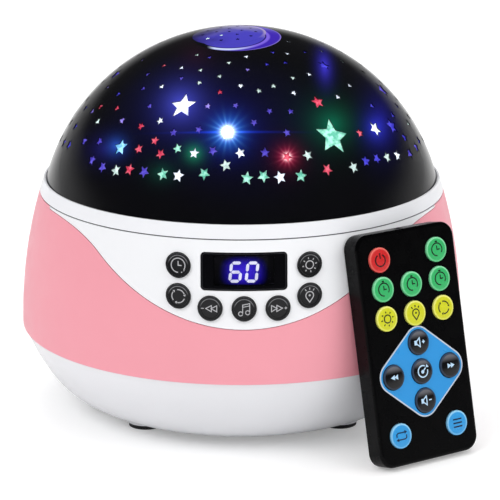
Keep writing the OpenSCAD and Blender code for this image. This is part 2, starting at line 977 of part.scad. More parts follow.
module turntable() {
    color("#2b2b2f") {
        // ring gear
        translate([0, 0, dome_base_z - gear_face])
            linear_extrude(gear_face)
                difference() {
                    circle(band_r + eps, $fn = FINE);
                    rotate(90)
                        gear_outline(ring_teeth, ring_pitch_r - 0.7 * gear_module,
                            ring_pitch_r + 1.25 * gear_module, 0.1);
                }
        rotate_extrude($fn = FINE) {
            translate([band_r, table_flange_high_z - 0.6])
                square([table_r - band_r, dome_base_z - table_flange_high_z + 0.6]);
            translate([band_r, table_flange_low_z])
                square([table_flange_r - band_r, table_flange_high_z - table_flange_low_z]);
            translate([band_r + 1.6, table_low_z])
                square([1.8, table_flange_low_z - table_low_z + eps]);
            translate([band_r + 1.8, dome_base_z - eps])
                square([1.6, 3]);
        }
    }
}

module drive_pinion() {
    color("#e2e2dc")
        translate([0, pinion_y, 0])
            difference() {
                union() {
                    translate([0, 0, dome_base_z - gear_face + 0.2])
                        linear_extrude(gear_face - 0.4)
                            rotate(90)
                                gear_outline(pinion_teeth,
                                    pinion_pitch_r - 1.25 * gear_module,
                                    pinion_pitch_r + gear_module, -0.06);
                    translate([0, 0, upper_seam_z + 0.4])
                        cylinder(r = 4.5, h = dome_base_z - upper_seam_z + 1, $fn = 48);
                }
                translate([0, 0, 0])
                    cylinder(r = shaft_d / 2, h = far, $fn = 32);
            }
}

motor_ear_r = 3;
motor_ear_t = 1.2;
motor_ear_x = motor_d / 2 + motor_ear_r;
motor_neck_h = 2;
motor_pilot_r = 4;
motor_screw_r = 1.15;
motor_head_r = 2.2;
motor_head_t = 1.4;

module motor_shaft() {
    color(steel)
        translate([0, pinion_y, upper_seam_z - 3])
            cylinder(r = shaft_d / 2, h = dome_base_z - upper_seam_z + 4.6, $fn = 32);
}

module gear_motor() {
    color(steel)
        translate([0, pinion_y, deck_low_z])
            difference() {
                union() {
                    translate([0, 0, -motor_l - motor_neck_h])
                        cylinder(r = motor_d / 2, h = motor_l);
                    translate([0, 0, -motor_neck_h])
                        cylinder(r = motor_d / 2 - 0.6, h = motor_neck_h);
                    for (side = [-1, 1])
                        translate([side * motor_ear_x, 0, -motor_ear_t])
                            cylinder(r = motor_ear_r, h = motor_ear_t, $fn = 48);
                    translate([-motor_ear_x, -motor_ear_r, -motor_ear_t])
                        cube([2 * motor_ear_x, 2 * motor_ear_r, motor_ear_t]);
                    translate([0, 0, -eps])
                        cylinder(r = motor_pilot_r, h = deck_t - 0.3, $fn = 48);
                }
                for (side = [-1, 1])
                    translate([side * motor_ear_x, 0, -motor_l])
                        cylinder(r = motor_screw_r + seat_gap, h = far, $fn = 32);
                translate([0, 0, -motor_neck_h])
                    cylinder(r = shaft_d / 2 + running_gap, h = far, $fn = 32);
            }
}

module motor_screws() {
    color(steel)
        for (side = [-1, 1])
            translate([side * motor_ear_x, pinion_y, deck_low_z - motor_ear_t - motor_head_t])
                screw(motor_head_r, motor_head_t, motor_screw_r, motor_ear_t + deck_t - 0.4);
}

module mid_deck() {
    post_low_z = case_boss_top_z + 0.2;
    color("#d8d9dd")
        difference() {
            union() {
                translate([0, 0, deck_low_z])
                    cylinder(r = deck_r, h = deck_t, $fn = FINE);
                band(band_r + 3.6, band_r + 1.4, upper_seam_z - eps, upper_seam_z + track_h);
                for (i = [0:3])
                    translate(case_screw_place(i) + [0, 0, post_low_z])
                        cylinder(r = case_boss_r - 0.2, h = deck_low_z - post_low_z + 1, $fn = 48);
            }
            for (i = [0:3])
                translate(case_screw_place(i))
                    cylinder(
                        r = case_shank_r + running_gap,
                        h = case_head_z + case_shank_l + case_thread_l,
                        $fn = 32
                    );
            translate([0, pinion_y, 0])
                cylinder(r = motor_pilot_r + seat_gap, h = far, $fn = 48);
            for (side = [-1, 1])
                translate([side * motor_ear_x, pinion_y, deck_low_z - 1])
                    cylinder(r = motor_screw_r + running_gap, h = deck_t + 0.7, $fn = 32);
            cylinder(r = cable_hole_r, h = far, $fn = 48);
        }
}

light_z = upper_seam_z + post_h;
light_board_t = 1.6;
post_r = light_board_d * 0.26;
post_wall = 2;
post_flange_w = 4;
post_flange_t = 1.6;
post_screw_r = 0.85;
post_screw_place = [light_board_d * 0.145, 0, 0];
post_screw_l = 3.2;
post_head_r = 1.5;
post_head_t = 1;

module light_post() {
    color(white)
        translate([0, 0, upper_seam_z])
            difference() {
                union() {
                    cylinder(r = post_r + post_flange_w, h = post_flange_t);
                    cylinder(r = post_r, h = post_h);
                    // spigot in the deck
                    translate([0, 0, -deck_t + 0.2])
                        cylinder(r = cable_hole_r - running_gap, h = deck_t, $fn = 48);
                }
                translate([0, 0, -deck_t])
                    cylinder(r = cable_hole_r - 1.4, h = deck_t + post_flange_t + 0.4, $fn = 48);
                translate([0, 0, post_flange_t])
                    cylinder(r = post_r - post_wall, h = post_h - post_flange_t - post_wall);
                for (turn = [0, 120, 240])
                    rotate(turn)
                        translate(post_screw_place + [0, 0, 2 * post_flange_t])
                            cylinder(r = post_screw_r + running_gap, h = far, $fn = 32);
            }
}

module light_board() {
    color(white)
        difference() {
            translate([0, 0, light_z])
                cylinder(r = light_board_d / 2, h = light_board_t);
            for (turn = [0, 120, 240])
                rotate(turn)
                    translate(post_screw_place)
                        cylinder(r = post_screw_r + seat_gap, h = far, $fn = 32);
        }
}

led_r = 2.5;
led_h = 2.6;

module led() {
    cylinder(r = led_r, h = led_h, $fn = 32);
    translate([0, 0, led_h])
        sphere(r = led_r, $fn = 32);
}

module light_leds() {
    color("#f4f6ff")
        translate([0, 0, light_z + light_board_t]) {
            led();
            for (turn = [60:120:300])
                rotate(turn)
                    translate([light_board_d * 0.3, 0, 0])
                        led();
        }
}

module board_screws() {
    color(steel) {
        for (turn = [0, 120, 240])
            rotate(turn)
                translate(post_screw_place + [0, 0, light_z + light_board_t + post_head_t])
                    rotate([180, 0, 0])
                        screw(post_head_r, post_head_t, post_screw_r, post_screw_l);
        for (place = panel_boss)
            translate([place.x, board_y + board_head_t, place.y])
                rotate([90, 0, 0])
                    screw(board_head_r, board_head_t, board_screw_r, board_screw_l);
    }
}

// ---------------------------------------------------------------- stars

golden = 0.618034;
function fract(x) = x - floor(x);

// Stars taller than wide by this factor
star_stretch = 1.12;
front_reach = 70;

// Rows of stars round the sides and the back: polar angle and number in a full turn
star_rows = [
    [62, 50], [56, 44], [49.5, 36], [43, 30], [36.5, 25], [30, 19], [23.5, 13]
];
lowest_polar = star_rows[0][0];
highest_polar = star_rows[6][0];

// Stars of the front: direction from the front, polar angle
front_stars = [
    [-54, 62], [-48, 63], [-42, 63], [-37, 62], [-31.5, 62], [-25, 62], [-20, 62],
    [-12, 61], [-5.5, 58.5], [1, 62], [6, 61.5], [11, 62], [17.5, 62], [26.5, 61],
    [36, 61.5], [41.5, 60.5], [46.5, 60.5], [51.5, 61], [57, 61.5], [65, 62.5],
    [-63, 58], [-54.5, 56.5], [-36, 56], [-31, 53], [-27.5, 56.5], [-22, 54.5],
    [-16, 55.5], [-10, 54.5], [-1, 55], [7, 55], [14, 56.5], [21, 56.5], [44, 52.5],
    [-62, 51.5], [-49, 49], [-39, 49.5], [-32, 47], [-25, 50], [-16, 48.5], [4, 46],
    [15.5, 49.5], [67, 58], [69, 51], [-67.5, 47.5], [-56, 46], [-40, 43], [-14.5, 41],
    [-3, 40.5], [10.5, 42.5], [19, 43], [44, 40.5], [59.5, 46],
    [-62.5, 42], [-50, 38], [-40.5, 36], [-33, 32], [-22, 33], [-10.5, 36], [-12.5, 30],
    [-1, 33.5], [7.5, 35.5], [15, 34], [23.5, 37], [27, 31.5], [38, 31], [56.5, 38],
    [-56, 33], [-51.5, 28.5], [-38, 28], [-25, 28], [-9, 24], [3, 27], [16, 25],
    [29, 25], [-36, 21.5], [-24.5, 22], [3, 21], [26, 19.5], [37, 21], [54, 22],
    [57, 15.5]
];

// Large stars: direction from the front, polar angle, point radius, turn
large_stars = [
    [-25, 41.5, 4.7, 8],
    [32, 52, 6.2, -14],
    [-43.5, 56.5, 3, 12],
    [52.5, 52.5, 2.9, 20],
    [32.5, 41, 2.6, 0],
    [-5.5, 49, 2.4, 10],
    [63, 53.5, 3.2, -10],
    [54, 29, 2.4, 30],
    [80, 44, 3.4, 5],
    [112, 50, 4.4, 15],
    [150, 42, 3, -8],
    [178, 53, 5.2, 10],
    [-148, 44, 3.4, 22],
    [-112, 52, 4.6, -12],
    [-84, 38, 2.8, 4]
];

moon_c = [-1.5, -7];
moon_disc_c = [-4.2, -4.4];

function star_direction(star) = [
    sin(star[0]) * sin(star[1]),
    -cos(star[0]) * sin(star[1]),
    cos(star[1])
];

function star_size(polar) =
    let (share = (polar - highest_polar) / (lowest_polar - highest_polar))
    high_star_r + (low_star_r - high_star_r) * share * abs(share);

function star_turn(seed) = seed * 47 % 72;

// A row star is jittered a little along and across its row
function row_star(row, i) =
    let (
        n = star_rows[row][1],
        seed = row * 17 + i,
        along = (fract(seed * golden) - 0.5) * 0.34,
        across = (fract(seed * golden * golden * 7) - 0.5) * 2.2,
        polar = star_rows[row][0] + across,
        direction = (i + along + row * 0.5) * 360 / n - 180
    )
    [direction, polar, star_size(polar), star_turn(seed)];

// How far a star stays clear of another, point to point
function star_space(star, other) =
    sphere_r * norm(star_direction(star) - star_direction(other)) - star[2] - other[2];

placed_stars = concat(
    large_stars,
    [
        for (i = [0:len(front_stars) - 1])
            let (place = front_stars[i])
            [place[0], place[1], star_size(place[1]), star_turn(i)]
    ]
);

function stands_clear(star) =
    min([for (other = placed_stars) star_space(star, other)]) > 0.6;

function clear_of_moon(star) =
    norm(sphere_r * [star_direction(star).x, star_direction(star).y] - moon_c)
        > moon_r + star[2] + 0.8;

side_stars = [
    for (row = [0:len(star_rows) - 1])
        for (i = [0:star_rows[row][1] - 1])
            let (star = row_star(row, i))
            if (abs(star[0]) > front_reach && stands_clear(star) && clear_of_moon(star))
                star
];

stars = concat(placed_stars, side_stars);

module star_outline(r) {
    polygon([
        for (i = [0:9])
            let (a = 90 + i * 36, reach = i % 2 == 0 ? r : r * 0.46)
            [reach * cos(a), reach * sin(a)]
    ]);
}

module star_cut(star) {
    rotate([0, 0, star[0]])
        rotate([star[1], 0, 0])
            translate([0, 0, sphere_r - dome_wall - 2])
                linear_extrude(dome_wall + 4)
                    scale([1, star_stretch])
                        rotate(star[3])
                            star_outline(star[2]);
}

// Half section of a ball about the dome's middle, above a height
module dome_region(r, low_z) {
    intersection() {
        translate([0, sphere_z])
            circle(r, $fn = FINE);
        translate([0, low_z])
            square([far, far]);
    }
}

module star_dome() {
    color(black)
        difference() {
            rotate_extrude($fn = FINE)
                union() {
                    difference() {
                        dome_region(sphere_r, dome_base_z);
                        dome_region(sphere_r - dome_wall, 0);
                    }
                    // inner flange that sits on the turntable
                    intersection() {
                        translate([band_r + 3.6, dome_base_z])
                            square([far, dome_flange_t]);
                        dome_region(sphere_r - dome_wall / 2, dome_base_z);
                    }
                }
            translate([0, 0, sphere_z])
                for (star = stars)
                    star_cut(star);
            translate([0, 0, apex_z - 12])
                linear_extrude(far)
                    difference() {
                        translate(moon_c)
                            circle(moon_r);
                        translate(moon_disc_c)
                            circle(moon_disc_r);
                    }
            for (ring = [0:2])
                for (i = [0:max(0, 5 * ring - 1)])
                    translate([moon_disc_c.x, moon_disc_c.y, apex_z - 12])
                        rotate(i * 360 / max(1, 5 * ring) + 18 * ring)
                            translate([ring * moon_disc_r * 0.36, 0, 0])
                                linear_extrude(far)
                                    star_outline(1);
        }
}

module dome_liner() {
    outer_r = sphere_r - dome_wall - 0.3;
    color("#c9d4ff")
        rotate_extrude($fn = FINE)
            difference() {
                dome_region(outer_r, dome_base_z + dome_flange_t);
                dome_region(outer_r - liner_wall, 0);
            }
}

// ---------------------------------------------------------------- remote

remote_floor = 1;
remote_split = 3.6;
remote_edge_r = 1.1;
touch_z = wall_c.y + wall_curve_r * sin(remote_lean);
remote_back_y = wall_r(touch_z) + touch_z * tan(remote_lean) + move_gap;
key_first = 8.7;
diamond_t = 0.5;
diamond_inset = 0.4;
key_flange_t = 0.55;
remote_board_t = 0.8;
remote_board_z = remote_t - 1 - move_gap - key_flange_t - key_travel - 0.05 - remote_board_t;

// Puts a piece drawn flat, with y up the remote's length and z out of its face, in its place
module on_remote() {
    rotate([0, 0, remote_turn])
        translate([remote_shift, -remote_back_y, 0])
            rotate([90 - remote_lean, 0, 0])
                children();
}

// Columns and rows of the keys: columns -1, 0 and 1, rows from 0 at the top
key_places = [
    [-1, 0], [1, 0], [-1, 1], [0, 1], [1, 1], [-1, 2], [0, 2], [1, 2],
    [0, 3], [-1, 4], [0, 4], [1, 4], [0, 5], [-1, 6], [1, 6]
];

function key_place(i) = [
    key_places[i].x * key_column_step,
    remote_l - key_first - key_places[i].y * key_row_step,
    0
];

// Edge of a plate from its corner's centre outwards, with a rounded upper edge
module soft_edge(r, h, edge_r) {
    square([r, h - edge_r]);
    square([r - edge_r, h]);
    translate([r - edge_r, h - edge_r])
        circle(edge_r, $fn = 48);
}

// Plate with round corners and a rounded front edge
module soft_plate(w, l, low_z, high_z, r, edge_r) {
    h = high_z - low_z;
    translate([0, l / 2, low_z]) {
        translate([r - w / 2, r - l / 2, 0])
            cube([w - 2 * r, l - 2 * r, h]);
        for (turn = [0, 90, 180, 270]) {
            across = turn % 180 == 0 ? w : l;
            along = turn % 180 == 0 ? l : w;
            rotate(turn) {
                translate([across / 2 - r, along / 2 - r, 0])
                    rotate_extrude(angle = 90, $fn = 96)
                        soft_edge(r, h, edge_r);
                translate([across / 2 - r, along / 2 - r, 0])
                    rotate([90, 0, 0])
                        linear_extrude(along - 2 * r)
                            soft_edge(r, h, edge_r);
            }
        }
    }
}

tray_w = coin_d + 2.4;
tray_l = coin_d + 3;
tray_t = coin_t + 0.2;
tray_z = remote_floor + 0.05;
ir_led_r = 1.5;
ir_led_z = remote_split;
ir_led_y = remote_l - 4.2;
ir_led_l = 3.1;

module remote_inside(low_z, high_z) {
    translate([0, remote_l / 2, low_z])
        linear_extrude(high_z - low_z)
            rounded_rect(remote_w - 2.4, remote_l - 2.4, remote_corner_r - 1.2);
}

// Room for the tray that holds the coin cell
module tray_space() {
    translate([-tray_w / 2 - key_gap, -1, remote_floor])
        cube([tray_w + 2 * key_gap, tray_l + 1 + key_gap, tray_t + 0.2]);
}

// Pins of the case that the board is held between
board_pins = [[-5.8, 4.85], [5.8, 4.85], [-17, 34.95], [17, 34.95], [-17, 53.35], [17, 53.35]];

module remote_pins(low_z, high_z) {
    for (place = board_pins)
        translate([place.x, remote_l - key_first - place.y, low_z])
            cylinder(r = 1.1, h = high_z - low_z, $fn = 32);
}

module remote_back() {
    color(black)
        on_remote() {
            difference() {
                translate([0, remote_l / 2, 0])
                    linear_extrude(remote_split)
                        rounded_rect(remote_w, remote_l, remote_corner_r);
                remote_inside(remote_floor, remote_split + 1);
                tray_space();
                translate([0, remote_l - 3, ir_led_z])
                    rotate([-90, 0, 0])
                        cylinder(r = ir_led_r + 0.1, h = 5, $fn = 32);
            }
            remote_pins(remote_floor - eps, remote_board_z);
        }
}

module diamond_outline(grow) {
    a = key_column_step;
    b = key_row_step;
    r = key_d / 2 + 1.1 + grow;
    n = [b, a] / norm([a, b]);
    out = [a + r * n.x, b + r * n.y];
    polygon([
        [out.x, -r * n.y], [out.x, r * n.y], [r * n.x, out.y], [-r * n.x, out.y],
        [-out.x, r * n.y], [-out.x, -r * n.y], [-r * n.x, -out.y], [r * n.x, -out.y]
    ]);
    for (side = [-1, 1]) {
        translate([side * a, 0])
            circle(r, $fn = 48);
        translate([0, side * b])
            circle(r, $fn = 48);
    }
}

module key_holes(gap, low_z, high_z) {
    for (i = [0:len(key_places) - 1])
        translate(key_place(i) + [0, 0, low_z])
            cylinder(r = key_d / 2 + gap, h = high_z - low_z, $fn = 48);
}

module remote_front() {
    color(black)
        on_remote() {
            difference() {
                soft_plate(remote_w, remote_l, remote_split, remote_t, remote_corner_r,
                    remote_edge_r);
                remote_inside(remote_split - 1, remote_t - 1);
                key_holes(key_gap, remote_split, remote_t + 1);
                translate(key_place(10) + [0, 0, remote_t - diamond_inset])
                    linear_extrude(1)
                        diamond_outline(0.1);
                tray_space();
                translate([0, remote_l - 3, ir_led_z])
                    rotate([-90, 0, 0])
                        cylinder(r = ir_led_r + 0.1, h = 5, $fn = 32);
            }
            remote_pins(remote_board_z + remote_board_t, remote_t - 1 + eps);
        }
}

module remote_diamond() {
    color("#2a7fd0")
        on_remote()
            difference() {
                translate(key_place(10) + [0, 0, remote_t - diamond_inset])
                    linear_extrude(diamond_t)
                        diamond_outline(0);
                key_holes(key_gap, remote_split, remote_t + 1);
            }
}

module remote_board() {
    color(board_green)
        on_remote()
            translate([0, remote_l / 2 - 1.4, remote_board_z])
                linear_extrude(remote_board_t)
                    rounded_rect(remote_w - 2.8, remote_l - 5.8, remote_corner_r - 1.4);
}

module remote_ir_led() {
    color("#1b1b22")
        on_remote()
            translate([0, ir_led_y, ir_led_z])
                rotate([-90, 0, 0]) {
                    cylinder(r = ir_led_r, h = ir_led_l, $fn = 32);
                    translate([0, 0, ir_led_l])
                        sphere(r = ir_led_r, $fn = 32);
                }
}

module remote_tray() {
    color(black)
        on_remote()
            difference() {
                translate([-tray_w / 2, 0, tray_z])
                    cube([tray_w, tray_l, tray_t]);
                translate([0, tray_l - coin_d / 2 - 0.6, tray_z - 1])
                    cylinder(r = coin_d / 2 + 0.1, h = tray_t + 2);
            }
}

module coin_cell() {
    color(steel)
        on_remote()
            translate([0, tray_l - coin_d / 2 - 0.6, tray_z + 0.1])
                cylinder(r = coin_d / 2, h = coin_t);
}

// A key slides in; its cap is a low dome on a flange that keeps it in the case
module remote_key(i, paint) {
    r = key_d / 2;
    cap_h = 0.9;
    crown_r = (r * r + 0.09) / 0.6;
    color(paint)
        on_remote()
            translate(key_place(i) + [0, 0, remote_t]) {
                translate([0, 0, -1 - move_gap - key_flange_t])
                    cylinder(r = r + 0.5, h = key_flange_t, $fn = 48);
                intersection() {
                    translate([0, 0, -1 - move_gap - key_flange_t])
                        cylinder(r = r, h = 1 + move_gap + key_flange_t + cap_h, $fn = 48);
                    translate([0, 0, cap_h - crown_r])
                        sphere(r = crown_r);
                }
            }
}

red = "#c8202a";
green = "#27a34a";
yellow = "#e3c21a";
blue = "#3a86c8";

module key_power() {
    remote_key(0, red);
}

module key_timer_a() {
    remote_key(1, green);
}

module key_timer_b() {
    remote_key(2, green);
}

module key_timer_c() {
    remote_key(3, green);
}

module key_timer_d() {
    remote_key(4, green);
}

module key_lamp() {
    remote_key(5, yellow);
}

module key_colour() {
    remote_key(6, yellow);
}

module key_turn() {
    remote_key(7, yellow);
}

module key_louder() {
    remote_key(8, black);
}

module key_back() {
    remote_key(9, black);
}

module key_mode() {
    remote_key(10, black);
}

module key_next() {
    remote_key(11, black);
}

module key_softer() {
    remote_key(12, black);
}

module key_repeat() {
    remote_key(13, blue);
}

module key_shuffle() {
    remote_key(14, blue);
}

lower_shell();
side_shell();
front_panel();
collar_ring();
mid_deck();
display_window();
display_module();
display_digits();
main_board();
tact_switches();
ir_receiver();
usb_socket();
feet();
case_screws();
speaker_frame();
speaker_cone();
battery_contacts();
battery_cells();
gear_motor();
motor_screws();
light_post();
light_board();
light_leds();
board_screws();
star_dome();
dome_liner();
turntable();
motor_shaft();
drive_pinion();
battery_door();
door_screw();
button_timer();
button_turn();
button_back();
button_music();
button_next();
button_lamp();
button_colour();
remote_front();
remote_back();
remote_diamond();
remote_board();
remote_ir_led();
remote_tray();
coin_cell();
key_power();
key_timer_a();
key_timer_b();
key_timer_c();
key_timer_d();
key_lamp();
key_colour();
key_turn();
key_louder();
key_back();
key_mode();
key_next();
key_softer();
key_repeat();
key_shuffle();
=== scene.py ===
"""Looks of the star night light projector: materials, lit stars, icons, display, studio."""
from math import acos, atan2, ceil, cos, degrees, hypot, pi, radians, sin, sqrt, tan

import bmesh
import bpy
from mathutils import Matrix, Vector


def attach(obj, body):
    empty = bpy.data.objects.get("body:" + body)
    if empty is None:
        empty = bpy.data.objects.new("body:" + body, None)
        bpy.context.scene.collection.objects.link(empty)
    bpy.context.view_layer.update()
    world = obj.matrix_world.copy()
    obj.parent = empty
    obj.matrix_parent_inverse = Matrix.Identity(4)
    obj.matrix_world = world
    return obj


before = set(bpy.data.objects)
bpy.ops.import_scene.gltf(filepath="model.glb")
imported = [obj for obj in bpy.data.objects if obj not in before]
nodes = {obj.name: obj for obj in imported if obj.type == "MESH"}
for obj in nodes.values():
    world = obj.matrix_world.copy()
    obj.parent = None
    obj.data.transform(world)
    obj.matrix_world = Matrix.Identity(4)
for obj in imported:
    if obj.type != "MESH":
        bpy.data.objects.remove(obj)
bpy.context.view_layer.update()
MM = 0.001

# ------------------------------------------------------------------ sizes in mm, angles in radians
MOVE_GAP = 0.3
HOUSING_R = 77.2
LOWER_SEAM_Z = 29.0
WALL_CURVE_R = 164.5
SEAM_Z, SEAM_H = 75.8, 0.4
COLLAR_TOP_Z, COLLAR_LIP_W = 80.6, 0.6
DOME_RIM_R = 68.0
DOME_BASE_Z = 80.2
DOME_H = 51.8
SPHERE_R = (DOME_RIM_R ** 2 + DOME_H ** 2) / (2 * DOME_H)
DOME_MIDDLE = Vector((0, 0, DOME_BASE_Z + DOME_H - SPHERE_R))
MOON_C, MOON_R = (-1.5, -7.0), 15.0
MOON_DISC_C, MOON_DISC_R = (-4.2, -4.4), 12.6
WINDOW_Z, WINDOW_W, WINDOW_H = 66.0, 28.2, 12.2
DIGIT_Z = 64.7
BUTTON_D, BUTTON_FLANGE_W = 7.8, 0.8
KEY_D = 8.2
COLUMN_STEP, ROW_STEP, KEY_FIRST = 11.6, 9.7, 8.7
REMOTE_L, REMOTE_T, REMOTE_X = 77.0, 7.0, 12.0
REMOTE_LEAN, REMOTE_TURN = radians(13), radians(33)
# The camera looks down by this angle
ELEVATION = radians(15.78)

# The side wall's curve runs from the housing's widest line to the collar's lip
WALL_FOOT = Vector((HOUSING_R, LOWER_SEAM_Z))
WALL_HEAD = Vector((DOME_RIM_R + MOVE_GAP + COLLAR_LIP_W, COLLAR_TOP_Z))
WALL_CHORD = WALL_HEAD - WALL_FOOT
WALL_C = (WALL_FOOT + WALL_HEAD) / 2 + (
    Vector((-WALL_CHORD.y, WALL_CHORD.x)).normalized()
    * sqrt(WALL_CURVE_R ** 2 - (WALL_CHORD.length / 2) ** 2))


def wall_r(z):
    """Radius of the side wall at a height."""
    return WALL_C.x + sqrt(WALL_CURVE_R ** 2 - (z - WALL_C.y) ** 2)


def on_wall(x, z, out):
    """Point at the front of the side wall, moved out from it."""
    r = wall_r(z) + out
    return (x, -sqrt(r * r - x * x), z)


def direction(azimuth, polar):
    """Unit vector, from degrees round from the front and degrees down from the top."""
    a, p = radians(azimuth), radians(polar)
    return Vector((sin(a) * sin(p), -cos(a) * sin(p), cos(p)))


# ------------------------------------------------------------------ material helpers
class Nodes:
    """The node tree of a material or of the world, built by calls."""

    def __init__(self, owner, output="ShaderNodeOutputMaterial"):
        self.owner = owner
        owner.use_nodes = True
        self.tree = owner.node_tree
        self.tree.nodes.clear()
        self.out = self.add(output)

    def add(self, kind, **fields):
        node = self.tree.nodes.new(kind)
        for key, value in fields.items():
            setattr(node, key, value)
        return node

    def put(self, socket, value):
        """Links an output to the socket, or sets a number, a vector or a colour on it."""
        if isinstance(value, bpy.types.NodeSocket):
            self.tree.links.new(value, socket)
        elif socket.type == "RGBA":
            socket.default_value = (*value, 1)
        else:
            socket.default_value = value

    def fill(self, kind, sockets, out=0, **fields):
        """Adds a node, fills sockets by name or number and gives one of its outputs."""
        node = self.add(kind, **fields)
        for key, value in sockets.items():
            self.put(node.inputs[key], value)
        return node.outputs[out]

    def coords(self, kind="Object"):
        return self.add("ShaderNodeTexCoord").outputs[kind]

    def split(self, vector):
        node = self.add("ShaderNodeSeparateXYZ")
        self.put(node.inputs[0], vector)
        return node.outputs

    def noise(self, vector, scale, detail=3.0, roughness=0.5):
        sockets = {"Vector": vector, "Scale": scale, "Detail": detail, "Roughness": roughness}
        return self.fill("ShaderNodeTexNoise", sockets, "Fac")

    def ramp(self, value, low, high, to_low, to_high, smooth=False):
        sockets = {"Value": value, "From Min": low, "From Max": high, "To Min": to_low,
                   "To Max": to_high}
        return self.fill("ShaderNodeMapRange", sockets, "Result",
                         interpolation_type="SMOOTHSTEP" if smooth else "LINEAR")

    def gloss(self, vector, scale, detail, low, high):
        """Roughness that drifts between two levels."""
        return self.ramp(self.noise(vector, scale, detail), 0.3, 0.7, low, high)

    def math(self, operation, *values):
        return self.fill("ShaderNodeMath", dict(enumerate(values)), operation=operation)

    def times(self, a, b):
        return self.math("MULTIPLY", a, b)

    def hypot(self, u, v):
        return self.math("SQRT", self.math("ADD", self.times(u, u), self.times(v, v)))

    def vector_math(self, operation, *values):
        out = "Value" if operation in ("DOT_PRODUCT", "LENGTH") else 0
        return self.fill("ShaderNodeVectorMath", dict(enumerate(values)), out,
                         operation=operation)

    def scaled(self, vector, level):
        return self.fill("ShaderNodeVectorMath", {0: vector, "Scale": level}, operation="SCALE")

    def mix_color(self, fac, a, b):
        return self.fill("ShaderNodeMix", {0: fac, 6: a, 7: b}, 2, data_type="RGBA")

    def mix_shader(self, fac, a, b):
        return self.fill("ShaderNodeMixShader", {0: fac, 1: a, 2: b})

    def bump(self, height, strength, distance):
        sockets = {"Height": height, "Strength": strength, "Distance": distance}
        return self.fill("ShaderNodeBump", sockets, "Normal")

    def shader(self, **sockets):
        named = {key.replace("_", " "): value for key, value in sockets.items()}
        return self.fill("ShaderNodeBsdfPrincipled", named)

    def done(self, surface):
        self.put(self.out.inputs["Surface"], surface)
        return self.owner


def material_nodes(name):
    return Nodes(bpy.data.materials.new(name))


def linear(r, g, b):
    """An sRGB colour of 0 to 255 as linear light."""
    def one(c):
        c /= 255
        return c / 12.92 if c <= 0.04045 else ((c + 0.055) / 1.055) ** 2.4
    return (one(r), one(g), one(b))


def shaded(color, share):
    return tuple(c * share for c in color)


# How deep a fine grain and a slow ripple look in a bump, in metres
GRAIN_DEPTH, RIPPLE_DEPTH = 0.0002, 0.0006


def plastic(name, rgb, rough, vary=0.03, grain=0.0, grain_scale=900.0, ior=1.46):
    """Moulded plastic: faint colour drift, uneven gloss, and a grain or else a slight ripple."""
    n = material_nodes(name)
    at = n.coords()
    base = linear(*rgb)
    light = tuple(min(1.0, c) for c in shaded(base, 1 + vary))
    color = n.mix_color(n.noise(at, 22.0, 2.0), shaded(base, 1 - vary), light)
    gloss = n.gloss(at, 160.0, 4.0, rough * 0.85, rough * 1.15)
    if grain > 0:
        normal = n.bump(n.noise(at, grain_scale, 3.0, 0.6), grain, GRAIN_DEPTH)
    else:
        normal = n.bump(n.noise(at, 45.0, 1.0), 0.05, RIPPLE_DEPTH)
    return n.done(n.shader(Base_Color=color, Roughness=gloss, Normal=normal, IOR=ior))


def metal(name, rgb, rough=0.3):
    n = material_nodes(name)
    at = n.coords()
    base = linear(*rgb)
    color = n.mix_color(n.noise(at, 300.0), shaded(base, 0.85), base)
    gloss = n.gloss(at, 900.0, 4.0, rough * 0.7, rough * 1.3)
    return n.done(n.shader(Base_Color=color, Roughness=gloss, Metallic=1.0))


def glow(name, rgb, strength, vary=0.35, scale=260.0, shade=0.75, tint=0.0):
    """A lit surface; its brightness and colour drift a little from place to place."""
    n = material_nodes(name)
    drift = n.noise(n.coords(), scale, 2.0)
    base = linear(*rgb)
    color = n.mix_color(n.ramp(drift, 0.38, 0.62, 0.0, 1.0), shaded(base, shade),
                        tuple(c + (1 - c) * tint for c in base))
    level = n.ramp(drift, 0.35, 0.65, strength * (1 - vary), strength)
    return n.done(n.shader(Base_Color=base, Roughness=0.4, Emission_Color=color,
                           Emission_Strength=level))


# ------------------------------------------------------------------ the dome's glow
# Light that spills on the dome: direction, polar angle, colour, reach in mm, strength, height
# of the spill against its width
HALOS = [
    (-5.5, 49.0, (70, 180, 255), 2.4, 1.3, 1.0),
    (-5.5, 49.0, (16, 50, 255), 4.0, 0.75, 1.0),
    (0.0, 47.0, (34, 30, 130), 15.0, 0.15, 0.8),
    (-26.0, 41.0, (84, 92, 240), 5.0, 0.62, 1.0),
    (-26.0, 44.0, (40, 40, 150), 12.0, 0.15, 0.8),
    (14.0, 56.5, (255, 50, 110), 1.5, 0.8, 1.0),
    (14.0, 56.5, (190, 20, 60), 3.2, 0.22, 1.0),
    (34.0, 48.5, (16, 180, 130), 4.4, 0.26, 1.0),
    (30.0, 47.0, (16, 110, 90), 8.0, 0.06, 1.0),
    (-16.0, 55.5, (40, 190, 130), 2.0, 0.5, 1.0),
    (-25.5, 61.5, (20, 130, 100), 3.0, 0.18, 0.8),
    (52.5, 52.5, (56, 66, 240), 2.6, 0.6, 1.2),
    (58.0, 51.0, (40, 34, 190), 4.0, 0.3, 1.8),
    (-45.5, 56.5, (50, 110, 240), 2.2, 0.5, 1.0),
    (-50.0, 58.0, (50, 40, 170), 4.5, 0.22, 0.8),
    (53.0, 29.5, (70, 60, 235), 1.7, 0.75, 2.3),
    (-36.0, 22.0, (90, 30, 70), 5.0, 0.10, 1.0),
    (178.0, 53.0, (30, 190, 140), 6.0, 0.32, 1.0),
    (112.0, 50.0, (90, 90, 235), 5.0, 0.36, 1.0),
    (-112.0, 52.0, (255, 60, 100), 4.0, 0.32, 1.0),
]
